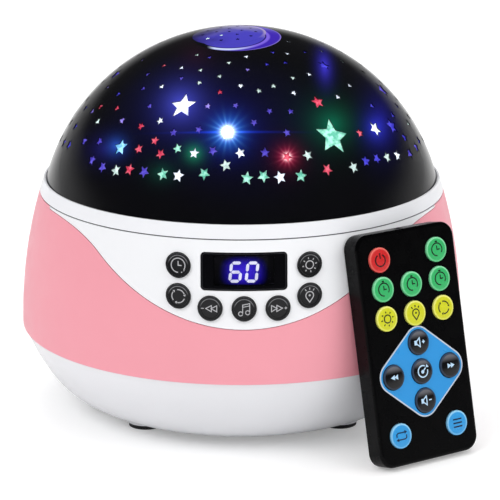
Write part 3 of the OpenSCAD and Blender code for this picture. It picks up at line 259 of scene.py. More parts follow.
# Star bursts: direction, polar angle, colour, core radius, ray reach, rays, streak reach, strength
BURSTS = [
    (-5.5, 49.0, (110, 190, 255), 1.6, 1.35, 9, 5.5, 4.6),
    (14.0, 56.5, (255, 120, 150), 0.95, 0.85, 7, 0.0, 2.6),
]
# A spill at the front spreads across the line of sight, one further round spreads upright
SIGHT_X = Vector((1, 0, 0))
SIGHT_UP = Vector((0, sin(ELEVATION), cos(ELEVATION)))
SIGHT_REACH = 75
# Spilt light ends between these distances from its star
SPILL_R, SPILL_END_R = 24 * MM, 36 * MM
STREAK_W = 0.36


def near_star(n, at, azimuth, polar):
    """Sideways and upward distance from a place on the dome, and 1 near it, 0 far from it."""
    star = direction(azimuth, polar) * SPHERE_R + DOME_MIDDLE
    away = n.vector_math("SUBTRACT", at, star * MM)
    near = n.ramp(n.vector_math("LENGTH", away), SPILL_R, SPILL_END_R, 1.0, 0.0)
    side, up = SIGHT_X, SIGHT_UP
    if abs(azimuth) > SIGHT_REACH:
        side = Vector((cos(radians(azimuth)), sin(radians(azimuth)), 0))
        up = Vector((0, 0, 1))
    return n.vector_math("DOT_PRODUCT", away, side), n.vector_math("DOT_PRODUCT", away, up), near


def fade(n, value, reach, power=1.0):
    """1 where the value is 0, falling off over a reach in mm."""
    share = n.math("DIVIDE", value, reach * MM)
    if power != 1.0:
        share = n.math("POWER", share, power)
    return n.math("EXPONENT", n.times(share, -1.0))


def tinted(n, level, rgb, strength):
    return n.scaled(shaded(linear(*rgb), strength), level)


def halo_lights(n, at):
    for azimuth, polar, rgb, reach, strength, tall in HALOS:
        u, v, near = near_star(n, at, azimuth, polar)
        if tall != 1.0:
            v = n.math("DIVIDE", v, tall)
        yield tinted(n, n.times(fade(n, n.hypot(u, v), reach, 1.3), near), rgb, strength)


def burst_lights(n, at):
    """For each burst a white core, coloured rays and, where it has one, a level streak."""
    for azimuth, polar, rgb, core, ray, rays, streak, strength in BURSTS:
        u, v, near = near_star(n, at, azimuth, polar)
        far_off = n.hypot(u, v)
        yield tinted(n, n.times(fade(n, far_off, core, 2.0), near), (255, 255, 255), strength)
        angle = n.math("ARCTAN2", v, u)
        wave = n.math("ABSOLUTE", n.math("COSINE", n.times(angle, rays)))
        uneven = n.math("ABSOLUTE", n.math("COSINE", n.times(angle, rays / 2 - 1)))
        beam = n.math("POWER", n.times(wave, n.ramp(uneven, 0.0, 1.0, 0.75, 1.0)), 4.0)
        beam = n.times(beam, fade(n, far_off, ray))
        yield tinted(n, n.times(beam, near), rgb, strength)
        if streak:
            line = fade(n, n.math("ABSOLUTE", v), STREAK_W, 2.0)
            run = n.times(fade(n, n.math("ABSOLUTE", u), streak), near)
            yield tinted(n, n.times(line, run), (24, 60, 255), 1.5)


def from_middle(n, at, middle):
    """Distance from an upright line at middle, with the sideways and backward parts."""
    place = n.split(at)
    du = n.math("SUBTRACT", place["X"], middle[0] * MM)
    dv = n.math("SUBTRACT", place["Y"], middle[1] * MM)
    return n.hypot(du, dv), du, dv


def moon_disc_color(n, at):
    """Light on the pierced disc inside the moon: grey lilac at the back, blue at the front."""
    far_off, du, dv = from_middle(n, at, MOON_DISC_C)
    drift = n.ramp(n.noise(at, 150.0), 0.3, 0.7, -3 * MM, 3 * MM)
    lean = n.math("ADD", n.math("SUBTRACT", n.times(du, 0.9), n.times(dv, 0.3)), drift)
    share = n.ramp(lean, -13 * MM, 3 * MM, 0.10, 0.62, smooth=True)
    back = n.ramp(n.math("ADD", dv, drift), -4 * MM, 9 * MM, 0.0, 1.0, smooth=True)
    color = n.mix_color(back, linear(92, 84, 236), linear(150, 142, 206))
    rim = n.times(n.ramp(far_off, 11.2 * MM, 12.2 * MM, 0.0, 1.0, smooth=True),
                  n.ramp(du, 2 * MM, 8 * MM, 0.0, 1.0))
    rim = n.times(rim, n.ramp(dv, -7 * MM, 0, 0.0, 1.0))
    return n.scaled(n.mix_color(rim, color, linear(206, 186, 244)), share)


def dome_material():
    n = material_nodes("dome_black")
    at = n.coords()
    base = linear(7, 7, 10)
    color = n.mix_color(n.noise(at, 30.0, 2.0), base, shaded(base, 1.3))
    inside = n.ramp(from_middle(n, at, MOON_DISC_C)[0], (MOON_DISC_R - 0.05) * MM,
                    (MOON_DISC_R + 0.1) * MM, 1.0, 0.0)
    total, *others = halo_lights(n, at)
    for light in (*others, *burst_lights(n, at), n.scaled(moon_disc_color(n, at), inside)):
        total = n.vector_math("ADD", total, light)
    # only the outer face is lit; the walls of the openings stay dark
    depth = n.vector_math("LENGTH", n.vector_math("SUBTRACT", at, DOME_MIDDLE * MM))
    outer = n.ramp(depth, (SPHERE_R - 0.10) * MM, (SPHERE_R - 0.03) * MM, 0.0, 1.0)
    return n.done(n.shader(Base_Color=color, Roughness=n.gloss(at, 120.0, 3.0, 0.10, 0.15),
                           IOR=1.46, Normal=n.bump(n.noise(at, 40.0, 1.0), 0.02, RIPPLE_DEPTH),
                           Emission_Color=total, Emission_Strength=outer))


# ------------------------------------------------------------------ materials of the CAD nodes
WHITE = plastic("white_plastic", (240, 241, 245), rough=0.22)
PANEL = plastic("panel_white", (243, 244, 247), rough=0.24)
PINK = plastic("pink_plastic", (244, 160, 173), rough=0.42)
GREY = plastic("grey_plastic", (200, 202, 206), rough=0.4)
DARK = plastic("dark_plastic", (34, 34, 38), rough=0.45, grain=0.2)
REMOTE = plastic("remote_black", (4, 4, 5), rough=0.28, grain=0.05, grain_scale=1400.0, ior=1.18)
DIAMOND = plastic("diamond_blue", (44, 150, 222), rough=0.3)
BOARD = plastic("circuit_board", (28, 92, 56), rough=0.4, vary=0.12)
BOARD_WHITE = plastic("white_board", (226, 226, 226), rough=0.4)
RUBBER = plastic("foot_rubber", (40, 40, 43), rough=0.7, grain=0.4)
NYLON = plastic("gear_plastic", (222, 222, 212), rough=0.45)
CELL = plastic("battery_sleeve", (190, 150, 50), rough=0.3, vary=0.1)
STEEL = metal("steel", (190, 192, 196))
MOTOR = metal("motor_steel", (176, 178, 182), 0.35)
DIFFUSER = glow("diffuser", (34, 30, 110), 0.35)
LED = glow("led", (235, 240, 255), 6.0)


def remote_frame():
    """Frame of the remote: x across, y up its length, z out of its face."""
    touch_z = WALL_C.y + WALL_CURVE_R * sin(REMOTE_LEAN)
    back_y = wall_r(touch_z) + touch_z * tan(REMOTE_LEAN) + MOVE_GAP
    return (Matrix.Rotation(REMOTE_TURN, 4, "Z") @ Matrix.Translation((REMOTE_X, -back_y, 0))
            @ Matrix.Rotation(pi / 2 - REMOTE_LEAN, 4, "X"))


remote_matrix = remote_frame()


def key_material(name, rgb, rim, top=None, rough=0.3):
    """Rubber key with a painted highlight round its rim and, with top, a painted highlight along
    its upper edge; the keys stand in a grid, so one pattern paints each of them.
    """
    n = material_nodes(name)
    at = n.vector_math("SUBTRACT", n.coords(), remote_matrix.translation * MM)
    axes = remote_matrix.to_3x3().transposed()
    across = n.math("PINGPONG", n.vector_math("DOT_PRODUCT", at, axes[0]), COLUMN_STEP / 2 * MM)
    down = n.math("SUBTRACT", n.vector_math("DOT_PRODUCT", at, axes[1]),
                  (REMOTE_L - KEY_FIRST) * MM)
    up = n.math("WRAP", down, ROW_STEP / 2 * MM, -ROW_STEP / 2 * MM)
    far_off = n.hypot(across, up)
    base = linear(*rgb)
    color = n.mix_color(n.noise(at, 60.0, 2.0), shaded(base, 0.95), base)
    # painted highlight along the upper edge of the key
    if top:
        edge = n.times(n.ramp(up, 1.0 * MM, 3.4 * MM, 0.0, 1.0, smooth=True),
                       n.ramp(far_off, 3.55 * MM, 3.85 * MM, 1.0, 0.0))
        color = n.mix_color(edge, color, linear(*top))
    # painted highlight round the rim, stronger towards the top
    edge = n.times(n.ramp(far_off, 3.35 * MM, 3.8 * MM, 0.0, 1.0, smooth=True),
                   n.ramp(up, -4.0 * MM, 4.0 * MM, 0.35, 1.0))
    color = n.mix_color(edge, color, linear(*rim))
    gloss = n.gloss(at, 200.0, 4.0, rough * 0.85, rough * 1.15)
    return n.done(n.shader(Base_Color=color, Roughness=gloss, IOR=1.42))


def button_material():
    """Black button with painted light: painted shade makes it lighter towards its top, and a
    painted highlight draws a thin bright arc inside its rim.
    """
    n = material_nodes("button_black")
    box = n.split(n.coords("Generated"))
    width = BUTTON_D + 2 * BUTTON_FLANGE_W
    u, v = (n.times(n.math("SUBTRACT", box[axis], 0.5), width) for axis in "XZ")
    far_off = n.hypot(u, v)
    # painted shade: lighter towards the top, as if lit from above
    color = n.mix_color(n.ramp(v, -3.0, 3.4, 0.0, 1.0), linear(20, 20, 22), linear(40, 40, 43))
    color = n.mix_color(n.noise(n.coords(), 300.0, 3.0), color, linear(30, 30, 33))
    # painted highlight: a thin bright arc on the upper half, inside the rim
    painted_highlight_arc = n.times(n.ramp(far_off, 2.95, 3.15, 0.0, 1.0, smooth=True),
                       n.ramp(far_off, 3.15, 3.4, 1.0, 0.0, smooth=True))
    painted_highlight_arc = n.times(painted_highlight_arc, n.ramp(v, 0.2, 2.6, 0.0, 1.0, smooth=True))
    color = n.mix_color(painted_highlight_arc, color, linear(176, 176, 180))
    return n.done(n.shader(Base_Color=color, Roughness=0.3, IOR=1.46))


BUTTON = button_material()
# The second colour is a painted highlight on each key's rim; top is a painted highlight on the
# black keys' upper edge
KEY_BLACK = key_material("key_black", (12, 12, 15), (60, 74, 96), top=(108, 108, 114), rough=0.2)
KEY_RED = key_material("key_red", (206, 34, 36), (236, 110, 100))
KEY_GREEN = key_material("key_green", (52, 182, 104), (140, 226, 172))
KEY_YELLOW = key_material("key_yellow", (212, 214, 34), (240, 240, 130))
KEY_BLUE = key_material("key_blue", (50, 156, 224), (150, 212, 246))

NEAR_BLACK = (0.002, 0.002, 0.003)


def window_material():
    """Smoked plastic: clear in the middle, where the digits shine through, black at its border."""
    n = material_nodes("smoked_window")
    place = n.split(n.coords())
    u = n.math("ABSOLUTE", place["X"])
    v = n.math("ABSOLUTE", n.math("SUBTRACT", place["Z"], (WINDOW_Z + 0.3) * MM))
    clear_part = n.times(n.ramp(u, 9.4 * MM, 10.0 * MM, 0.82, 0.0),
                         n.ramp(v, 4.5 * MM, 4.9 * MM, 1.0, 0.0))
    clear = n.fill("ShaderNodeBsdfTransparent", {"Color": (0.82, 0.82, 0.86)})
    shine = n.shader(Base_Color=NEAR_BLACK, Roughness=0.14, IOR=1.38)
    return n.done(n.mix_shader(clear_part, shine, clear))


def module_material():
    """Face of the display module: black, with blue light spread round the digits."""
    n = material_nodes("display_module")
    place = n.split(n.coords())
    u = n.math("ABSOLUTE", n.math("DIVIDE", place["X"], 7.4 * MM))
    v = n.math("SUBTRACT", place["Z"], DIGIT_Z * MM)
    v = n.math("ABSOLUTE", n.math("DIVIDE", v, 5.2 * MM))
    far_off = n.math("ADD", n.math("POWER", u, 3.0), n.math("POWER", v, 3.0))
    far_off = n.math("POWER", far_off, 1 / 3)
    level = n.times(n.ramp(far_off, 0.42, 1.12, 1.0, 0.0, smooth=True), 1.15)
    color = n.mix_color(n.ramp(far_off, 0.2, 0.9, 1.0, 0.0), linear(30, 4, 190),
                        linear(74, 44, 255))
    return n.done(n.shader(Base_Color=NEAR_BLACK, Roughness=0.6, Emission_Color=color,
                           Emission_Strength=level))


DOME = dome_material()
WINDOW = window_material()
MODULE = module_material()
DIGITS = glow("lit_digits", (242, 244, 255), 1.7, vary=0.05)

NODE_MATERIALS = {node: material for material, names in (
    (WHITE, "lower_shell collar_ring light_post battery_door"),
    (PINK, "side_shell"), (PANEL, "front_panel"), (GREY, "mid_deck"), (RUBBER, "feet"),
    (WINDOW, "display_window"), (MODULE, "display_module"), (DIGITS, "display_digits"),
    (BOARD, "main_board remote_board"), (BOARD_WHITE, "light_board"),
    (DARK, "tact_switches ir_receiver speaker_cone turntable remote_ir_led"),
    (STEEL, "usb_socket case_screws speaker_frame battery_contacts motor_screws motor_shaft"),
    (STEEL, "board_screws door_screw coin_cell"),
    (CELL, "battery_cells"), (MOTOR, "gear_motor"), (NYLON, "drive_pinion"),
    (LED, "light_leds"), (DOME, "star_dome"), (DIFFUSER, "dome_liner"),
    (REMOTE, "remote_front remote_back remote_tray"), (DIAMOND, "remote_diamond"),
    (KEY_RED, "key_power"), (KEY_GREEN, "key_timer_a key_timer_b key_timer_c key_timer_d"),
    (KEY_YELLOW, "key_lamp key_colour key_turn"), (KEY_BLUE, "key_repeat key_shuffle"),
    (KEY_BLACK, "key_louder key_back key_mode key_next key_softer"),
) for node in names.split()}

# One wide angle splits only the real edges of the large shells
SHELLS = ("side_shell", "front_panel", "lower_shell", "collar_ring", "star_dome")
SHELL_WELD, SHELL_SPLIT = 1e-5, radians(60)
WELD, SPLIT = 1e-6, radians(28)


def dress(name, obj):
    """Gives a CAD node its material and clean shading."""
    obj.data.materials.clear()
    obj.data.materials.append(NODE_MATERIALS.get(name, BUTTON))
    for polygon in obj.data.polygons:
        polygon.use_smooth = True
    weld = obj.modifiers.new("weld", "WELD")
    weld.merge_threshold = SHELL_WELD if name in SHELLS else WELD
    split = obj.modifiers.new("split", "EDGE_SPLIT")
    split.split_angle = SHELL_SPLIT if name in SHELLS else SPLIT
    even = obj.modifiers.new("even", "WEIGHTED_NORMAL")
    even.keep_sharp = True


for name, obj in nodes.items():
    dress(name, obj)


# ------------------------------------------------------------------ mesh helpers
def add_object(name, data):
    obj = bpy.data.objects.new(name, data)
    bpy.context.scene.collection.objects.link(obj)
    return obj


# No step of a line is longer than this, so that lines follow a crowned face
LONGEST_STEP = 0.6


def in_steps(points, closed):
    """The same line in short steps."""
    result = []
    ends = points[1:] + (points[:1] if closed else [])
    for (u, v), (u2, v2) in zip(points, ends):
        parts = max(1, ceil(hypot(u2 - u, v2 - v) / LONGEST_STEP))
        result += [(u + (u2 - u) * i / parts, v + (v2 - v) * i / parts) for i in range(parts)]
    return result if closed else result + [points[-1]]


def stroke_edges(points, width, closed):
    """The two edges of a line, left and right of its points, with mitred corners."""
    count = len(points)
    left, right = [], []
    for i, (u, v) in enumerate(points):
        ways = []
        if i > 0 or closed:
            ways.append((u - points[i - 1][0], v - points[i - 1][1]))
        if i < count - 1 or closed:
            after = points[(i + 1) % count]
            ways.append((after[0] - u, after[1] - v))
        normals = [(-dv / hypot(du, dv), du / hypot(du, dv)) for du, dv in ways]
        mu, mv = sum(normal[0] for normal in normals), sum(normal[1] for normal in normals)
        mu, mv = mu / hypot(mu, mv), mv / hypot(mu, mv)
        reach = width / 2 / max(0.5, mu * normals[0][0] + mv * normals[0][1])
        left.append((u + mu * reach, v + mv * reach))
        right.append((u - mu * reach, v - mv * reach))
    return left, right


class Solid:
    """Collects closed prisms whose two layers come from a placing function."""

    def __init__(self, place):
        self.place = place
        self.vertices = []
        self.faces = []

    def prism(self, outline, low, high, fan=False):
        """A convex outline, or with fan a star-shaped one round its middle, between two heights."""
        n = len(outline)
        start = len(self.vertices)
        for lift in (low, high):
            for u, v in outline:
                self.vertices.append(self.place(u, v, lift))
        for i in range(n):
            j = (i + 1) % n
            self.faces.append((start + i, start + j, start + n + j, start + n + i))
        if fan:
            mu = sum(p[0] for p in outline) / n
            mv = sum(p[1] for p in outline) / n
            for layer, lift in ((0, low), (n, high)):
                middle = len(self.vertices)
                self.vertices.append(self.place(mu, mv, lift))
                for i in range(n):
                    self.faces.append((start + layer + i, start + layer + (i + 1) % n, middle))
        else:
            self.faces.append(tuple(start + i for i in reversed(range(n))))
            self.faces.append(tuple(start + n + i for i in range(n)))

    def stroke(self, points, width, low, high, closed=False):
        """A line of the given width along points, as one strip of short quads."""
        points = in_steps(points, closed)
        count = len(points)
        left, right = stroke_edges(points, width, closed)
        start = len(self.vertices)
        for lift in (low, high):
            for p, q in zip(left, right):
                self.vertices.append(self.place(*p, lift))
                self.vertices.append(self.place(*q, lift))
        top = 2 * count
        for i in range(count if closed else count - 1):
            la, lb = start + 2 * i, start + 2 * ((i + 1) % count)
            ra, rb = la + 1, lb + 1
            self.faces += [
                (la, lb, rb, ra),
                (top + la, top + ra, top + rb, top + lb),
                (la, top + la, top + lb, lb),
                (ra, rb, top + rb, top + ra),
            ]
        if not closed:
            for i in (0, count - 1):
                a = start + 2 * i
                self.faces.append((a, a + 1, top + a + 1, top + a))

    def make(self, name, material, body, slot):
        """Makes the piece out of all that was collected."""
        mesh = bpy.data.meshes.new(name)
        mesh.from_pydata([tuple(Vector(v) * MM) for v in self.vertices], [], self.faces)
        mesh.materials.append(material)
        bm = bmesh.new()
        bm.from_mesh(mesh)
        bmesh.ops.recalc_face_normals(bm, faces=bm.faces)
        bm.to_mesh(mesh)
        bm.free()
        obj = add_object(name, mesh)
        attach(obj, body)


def arc(cu, cv, r, start, end, steps=None):
    steps = steps or max(3, int(abs(end - start) / 12))
    return [(cu + r * cos(radians(start + (end - start) * i / steps)),
             cv + r * sin(radians(start + (end - start) * i / steps))) for i in range(steps + 1)]


# ------------------------------------------------------------------ icons
BUTTON_LINE_W, KEY_LINE_W, DOT_SIDES = 0.3, 0.38, 14
ICON_LOW, ICON_HIGH, SKIP_HIGH = -0.1, 0.05, 0.04


class Icon(Solid):
    """Marks on a button or key; lines and patches are drawn in units of its scale."""

    def __init__(self, place, scale, line_w, high=ICON_HIGH):
        super().__init__(place)
        self.scale = scale
        self.line_w = line_w
        self.high = high

    def line(self, points, width=1.0, closed=False):
        sized = [(u * self.scale, v * self.scale) for u, v in points]
        self.stroke(sized, self.line_w * width, ICON_LOW, self.high, closed)

    def patch(self, points):
        sized = [(u * self.scale, v * self.scale) for u, v in points]
        self.prism(sized, ICON_LOW, self.high)

    def dot(self, u, v, r):
        """A round dot; its radius is in mm."""
        u, v = u * self.scale, v * self.scale
        turns = [2 * pi * k / DOT_SIDES for k in range(DOT_SIDES)]
        self.prism([(u + r * cos(a), v + r * sin(a)) for a in turns], ICON_LOW, self.high)

    def sign(self, u, half, plus):
        """A minus, or with plus a plus, of a size in units of the scale."""
        self.line([(u - half, 0), (u + half, 0)])
        if plus:
            self.line([(u, -half), (u, half)])

    def rays(self, angles, inner, outer):
        for angle in angles:
            c, s = cos(radians(angle)), sin(radians(angle))
            self.line([(inner * c, inner * s), (outer * c, outer * s)])


def draw_clock(icon, knob=False):
    icon.line(arc(0, 0, 2.0, -35, 270))
    icon.line([(0, 1.2), (0, 0), (1.0, 0)])
    if knob:
        icon.line([(-0.4, 2.5), (0.4, 2.5)], 1.3)
    else:
        icon.dot(1.0, -1.9, 0.2)
        icon.dot(1.7, -1.4, 0.17)


def draw_timer_key(icon):
    draw_clock(icon, knob=True)


def draw_turn(icon):
    tip, side = 0.6 / icon.scale, 0.5 / icon.scale
    for start in (100, 220, 340):
        icon.line(arc(0, 0, 1.9, start, start - 78))
        c, s = cos(radians(start - 84)), sin(radians(start - 84))
        icon.patch([(1.9 * c + tip * s, 1.9 * s - tip * c), ((1.9 + side) * c, (1.9 + side) * s),
                    ((1.9 - side) * c, (1.9 - side) * s)])


def triangle(u, side):
    return [(side * (u + 1), 0), (side * (u - 0.75), 0.95), (side * (u - 0.75), -0.95)]


def draw_skip(icon, side):
    """Two open arrowheads and a minus on the left, or a plus on the right."""
    for u in (-1.3, 0.35):
        icon.line(triangle(u, side), 0.9, closed=True)
    icon.sign(2.4 * side, (0.4 if side > 0 else 0.45) / icon.scale, plus=side > 0)


def draw_key_skip(icon, side):
    """Two filled arrowheads."""
    for u in (-0.75, 0.75):
        icon.patch(triangle(u, side))


def draw_note(icon):
    for u, v in ((-0.95, -1.25), (0.95, -0.95)):
        icon.line(arc(u, v, 0.55, 0, 345), 0.9)
    icon.line([(-0.4, -1.2), (-0.4, 1.1), (1.5, 1.5), (1.5, -0.9)], 0.9)
    icon.line([(-0.4, 0.5), (1.5, 0.9)], 0.8)


def draw_sun(icon):
    icon.line(arc(0, 0, 1.25, 0, 345, 24), closed=True)
    icon.rays([45 * i + 10 for i in range(8)], 1.85, 2.4)


def draw_bulb(icon):
    icon.line(arc(0, 0.05, 1.15, -35, 215, 18) + [(0, -1.9)], closed=True)
    icon.dot(0, 0.1, 0.3 * icon.scale)
    icon.rays((55, 90, 125), 1.75, 2.35)


def draw_power(icon):
    icon.line(arc(0, -0.1, 1.5, 120, 420, 26), 1.2)
    icon.line([(0, 0.3), (0, 1.75)], 1.2)


def draw_speaker(icon, plus):
    icon.line([(-1.6, 0.5), (-0.9, 0.5), (0.1, 1.3), (0.1, -1.3), (-0.9, -0.5), (-1.6, -0.5)],
              closed=True)
    icon.patch([(-1.6, 0.5), (-0.9, 0.5), (-0.9, -0.5), (-1.6, -0.5)])
    icon.sign(1.4, 0.5, plus)


def draw_mode(icon):
    icon.line(arc(0, 0, 1.6, 60, 370, 28), 1.1)
    icon.dot(-0.1, -0.1, 0.5 * icon.scale)
    icon.line([(0, 0), (1.0, 0.9)])
    icon.patch([(1.5, 1.8), (2.1, 0.9), (1.1, 1.0)])


def draw_repeat(icon):
    for way in (1, -1):
        icon.line([(-1.7 * way, -0.2 * way), (-1.7 * way, 0.6 * way), (-1.2 * way, 1.0 * way),
                   (1.2 * way, 1.0 * way)])
        icon.patch([(1.1 * way, 1.55 * way), (1.95 * way, 1.0 * way), (1.1 * way, 0.45 * way)])


def draw_list(icon):
    for v in (-1.0, 0, 1.0):
        icon.line([(-1.4, v), (1.4, v)], 1.2)


ICON_GREY = plastic("icon_grey", (186, 186, 190), rough=0.35)
ICON_DARK = plastic("icon_dark", (22, 34, 26), rough=0.4)
ICON_RED = plastic("icon_on_red", (60, 10, 14), rough=0.4)
ICON_BLUE = plastic("icon_on_blue", (16, 34, 66), rough=0.4)
ICON_LIGHT = plastic("icon_light", (190, 222, 248), rough=0.35)

# Buttons: middle on the panel, what is drawn, its scale and height
BUTTONS = [
    ("button_timer", -21.3, 67.5, draw_clock, 1.12, ICON_HIGH),
    ("button_turn", -21.3, 57.7, draw_turn, 1.1, ICON_HIGH),
    ("button_back", -11.0, 54.3, lambda icon: draw_skip(icon, -1), 1.05, SKIP_HIGH),
    ("button_music", 0.0, 54.3, draw_note, 1.2, ICON_HIGH),
    ("button_next", 11.0, 54.3, lambda icon: draw_skip(icon, 1), 1.05, SKIP_HIGH),
    ("button_lamp", 21.3, 67.5, draw_sun, 1.0, ICON_HIGH),
    ("button_colour", 21.3, 57.7, draw_bulb, 1.1, ICON_HIGH),
]
# How far a button's face stands out from the wall's curve
BUTTON_FACE = 0.35


def button_place(bx, bz):
    """Places icon strokes on a button's face, which follows the wall."""
    def place(u, v, lift):
        return on_wall(bx + u, bz + v, BUTTON_FACE + lift)
    return place


for name, x, z, draw, scale, high in BUTTONS:
    icon = Icon(button_place(x, z), scale, BUTTON_LINE_W, high)
    draw(icon)
    icon.make(name + "_icon", ICON_GREY, name, "button_black")

# ------------------------------------------------------------------ the remote
# The face of a key is crowned, and its middle stands this far out of the remote
CROWN_H, KEY_OUT = 0.3, 0.9
CROWN_R = ((KEY_D / 2) ** 2 + CROWN_H ** 2) / (2 * CROWN_H)


def on_remote(u, v, h):
    return remote_matrix @ Vector((u, v, h))


def key_middle(column, row):
    return column * COLUMN_STEP, REMOTE_L - KEY_FIRST - row * ROW_STEP


def key_place(column, row):
    ku, kv = key_middle(column, row)

    def place(u, v, lift):
        drop = CROWN_R - sqrt(CROWN_R ** 2 - u * u - v * v)
        return on_remote(ku + u, kv + v, REMOTE_T + KEY_OUT - drop + lift)
    return place


# Keys: column and row, material of the icon, what is drawn and its scale
KEYS = [
    ("key_power", -1, 0, ICON_RED, draw_power, 1.3),
    ("key_timer_a", 1, 0, ICON_DARK, draw_timer_key, 1.05),
    ("key_timer_b", -1, 1, ICON_DARK, draw_timer_key, 1.05),
    ("key_timer_c", 0, 1, ICON_DARK, draw_timer_key, 1.05),
    ("key_timer_d", 1, 1, ICON_DARK, draw_timer_key, 1.05),
    ("key_lamp", -1, 2, ICON_DARK, draw_sun, 1.05),
    ("key_colour", 0, 2, ICON_DARK, draw_bulb, 1.15),
    ("key_turn", 1, 2, ICON_DARK, draw_turn, 1.1),
    ("key_louder", 0, 3, ICON_LIGHT, lambda icon: draw_speaker(icon, True), 1.15),
    ("key_back", -1, 4, ICON_LIGHT, lambda icon: draw_key_skip(icon, -1), 0.9),
    ("key_mode", 0, 4, ICON_LIGHT, draw_mode, 1.2),
    ("key_next", 1, 4, ICON_LIGHT, lambda icon: draw_key_skip(icon, 1), 0.9),
    ("key_softer", 0, 5, ICON_LIGHT, lambda icon: draw_speaker(icon, False), 1.15),
    ("key_repeat", -1, 6, ICON_BLUE, draw_repeat, 1.15),
    ("key_shuffle", 1, 6, ICON_BLUE, draw_list, 1.25),
]
for name, column, row, material, draw, scale in KEYS:
    icon = Icon(key_place(column, row), scale, KEY_LINE_W)
    draw(icon)
    icon.make(name + "_icon", material, name, "key_black")


# The silver line runs this far outside the keys in the field's corners, and is this wide
DIAMOND_MARGIN, SILVER_W = 1.1, 0.45


def diamond_border():
    """Silver line round the diamond field."""
    a, b = COLUMN_STEP, ROW_STEP
    r = KEY_D / 2 + DIAMOND_MARGIN
    tilt = degrees(atan2(a, b))
    points = arc(a, 0, r, -tilt, tilt, 10) + arc(0, b, r, tilt, 180 - tilt, 14)
    points += arc(-a, 0, r, 180 - tilt, 180 + tilt, 10) + arc(0, -b, r, 180 + tilt, 360 - tilt, 14)
    ku, kv = key_middle(0, 4)
    solid = Solid(lambda u, v, lift: on_remote(ku + u, kv + v, REMOTE_T + lift))
    solid.stroke(points, SILVER_W, -0.1, 0.14, closed=True)
    silver = plastic("silver_line", (196, 206, 220), rough=0.3)
    solid.make("diamond_border", silver, "remote", "remote_black")


diamond_border()

# ------------------------------------------------------------------ lines on the housing
# The painted highlight runs this far inside the window's bevelled edge, and the window is sunk into
# the wall
BEVEL_INSET, BEVEL_W, BEVEL_CORNER_R = 0.55, 0.16, 1.0
WINDOW_SUNK = 0.15


def window_bevel_highlight():
    """Painted highlight: a thin lighter line along the window's bevelled edge."""
    r = BEVEL_CORNER_R
    w, h = WINDOW_W / 2 - BEVEL_INSET - r, WINDOW_H / 2 - BEVEL_INSET - r
    points = []
    for cu, cv, start in ((w, h, 0), (-w, h, 90), (-w, -h, 180), (w, -h, 270)):
        points += arc(cu, cv, r, start, start + 90, 6)
    solid = Solid(lambda u, v, lift: on_wall(u, WINDOW_Z + v, lift - WINDOW_SUNK))
    solid.stroke(points, BEVEL_W, -0.06, 0.03, closed=True)
    # painted highlight, a little lighter than the black window
    bevel_highlight = plastic("bevel_highlight_line", (44, 44, 49), rough=0.3)
    solid.make("window_bevel_highlight", bevel_highlight, "housing", "smoked_plastic")


window_bevel_highlight()


def seam_shadow_line():
    """Painted shadow: a dark line in the seam between the collar and the shell, where the groove
    lies in shade.
    """
    deep, shallow, low, high = -0.9, -0.3, SEAM_Z + 0.03, SEAM_Z + SEAM_H - 0.03
    profile = ((deep, low), (shallow, low), (shallow, high), (deep, high))
    solid = Solid(None)
    steps = 180
    for i in range(steps):
        a = 2 * pi * i / steps
        for out, z in profile:
            r = wall_r(z) + out
            solid.vertices.append((r * cos(a), r * sin(a), z))
    for i in range(steps):
        j = (i + 1) % steps
        for k in range(4):
            m = (k + 1) % 4
            solid.faces.append((4 * i + k, 4 * j + k, 4 * j + m, 4 * i + m))
    # painted shadow: dark grey where the groove's shade falls
    grey = plastic("seam_shadow_grey", (70, 70, 76), rough=0.5)
    solid.make("seam_shadow_line", grey, "housing", "white_plastic")


seam_shadow_line()

# ------------------------------------------------------------------ lit stars behind the dome
GOLDEN = 0.618034
STRETCH = 1.12
FRONT_REACH = 70
LOWEST, HIGHEST = 62, 23.5
LOW_STAR_R, HIGH_STAR_R = 2.15, 1.1
# Rows: degrees down from the top, number of stars in a full turn
STAR_ROWS = [(62, 50), (56, 44), (49.5, 36), (43, 30), (36.5, 25), (30, 19), (23.5, 13)]
# Front stars, measured in the photograph: degrees round from the front, degrees down
# from the top
FRONT_STARS = [
    (-54, 62), (-48, 63), (-42, 63), (-37, 62), (-31.5, 62), (-25, 62), (-20, 62),
    (-12, 61), (-5.5, 58.5), (1, 62), (6, 61.5), (11, 62), (17.5, 62), (26.5, 61),
    (36, 61.5), (41.5, 60.5), (46.5, 60.5), (51.5, 61), (57, 61.5), (65, 62.5),
    (-63, 58), (-54.5, 56.5), (-36, 56), (-31, 53), (-27.5, 56.5), (-22, 54.5),
    (-16, 55.5), (-10, 54.5), (-1, 55), (7, 55), (14, 56.5), (21, 56.5), (44, 52.5),
    (-62, 51.5), (-49, 49), (-39, 49.5), (-32, 47), (-25, 50), (-16, 48.5), (4, 46),
    (15.5, 49.5), (67, 58), (69, 51), (-67.5, 47.5), (-56, 46), (-40, 43), (-14.5, 41),
    (-3, 40.5), (10.5, 42.5), (19, 43), (44, 40.5), (59.5, 46),
    (-62.5, 42), (-50, 38), (-40.5, 36), (-33, 32), (-22, 33), (-10.5, 36), (-12.5, 30),
    (-1, 33.5), (7.5, 35.5), (15, 34), (23.5, 37), (27, 31.5), (38, 31), (56.5, 38),
    (-56, 33), (-51.5, 28.5), (-38, 28), (-25, 28), (-9, 24), (3, 27), (16, 25),
    (29, 25), (-36, 21.5), (-24.5, 22), (3, 21), (26, 19.5), (37, 21), (54, 22),
    (57, 15.5),
]
# v violet, p pale, r red, m mint, w white, b blue, l lilac, c cyan
FRONT_COLOURS = ("vvprvmwmpmmwmrpbbpwv" "vvrrrmwvwvrpr" "plrwvvvvbb" "rrvlvvvwb"
                 "bvwvprpwppwpww" "vrwpplbb" "pvwbwbw")
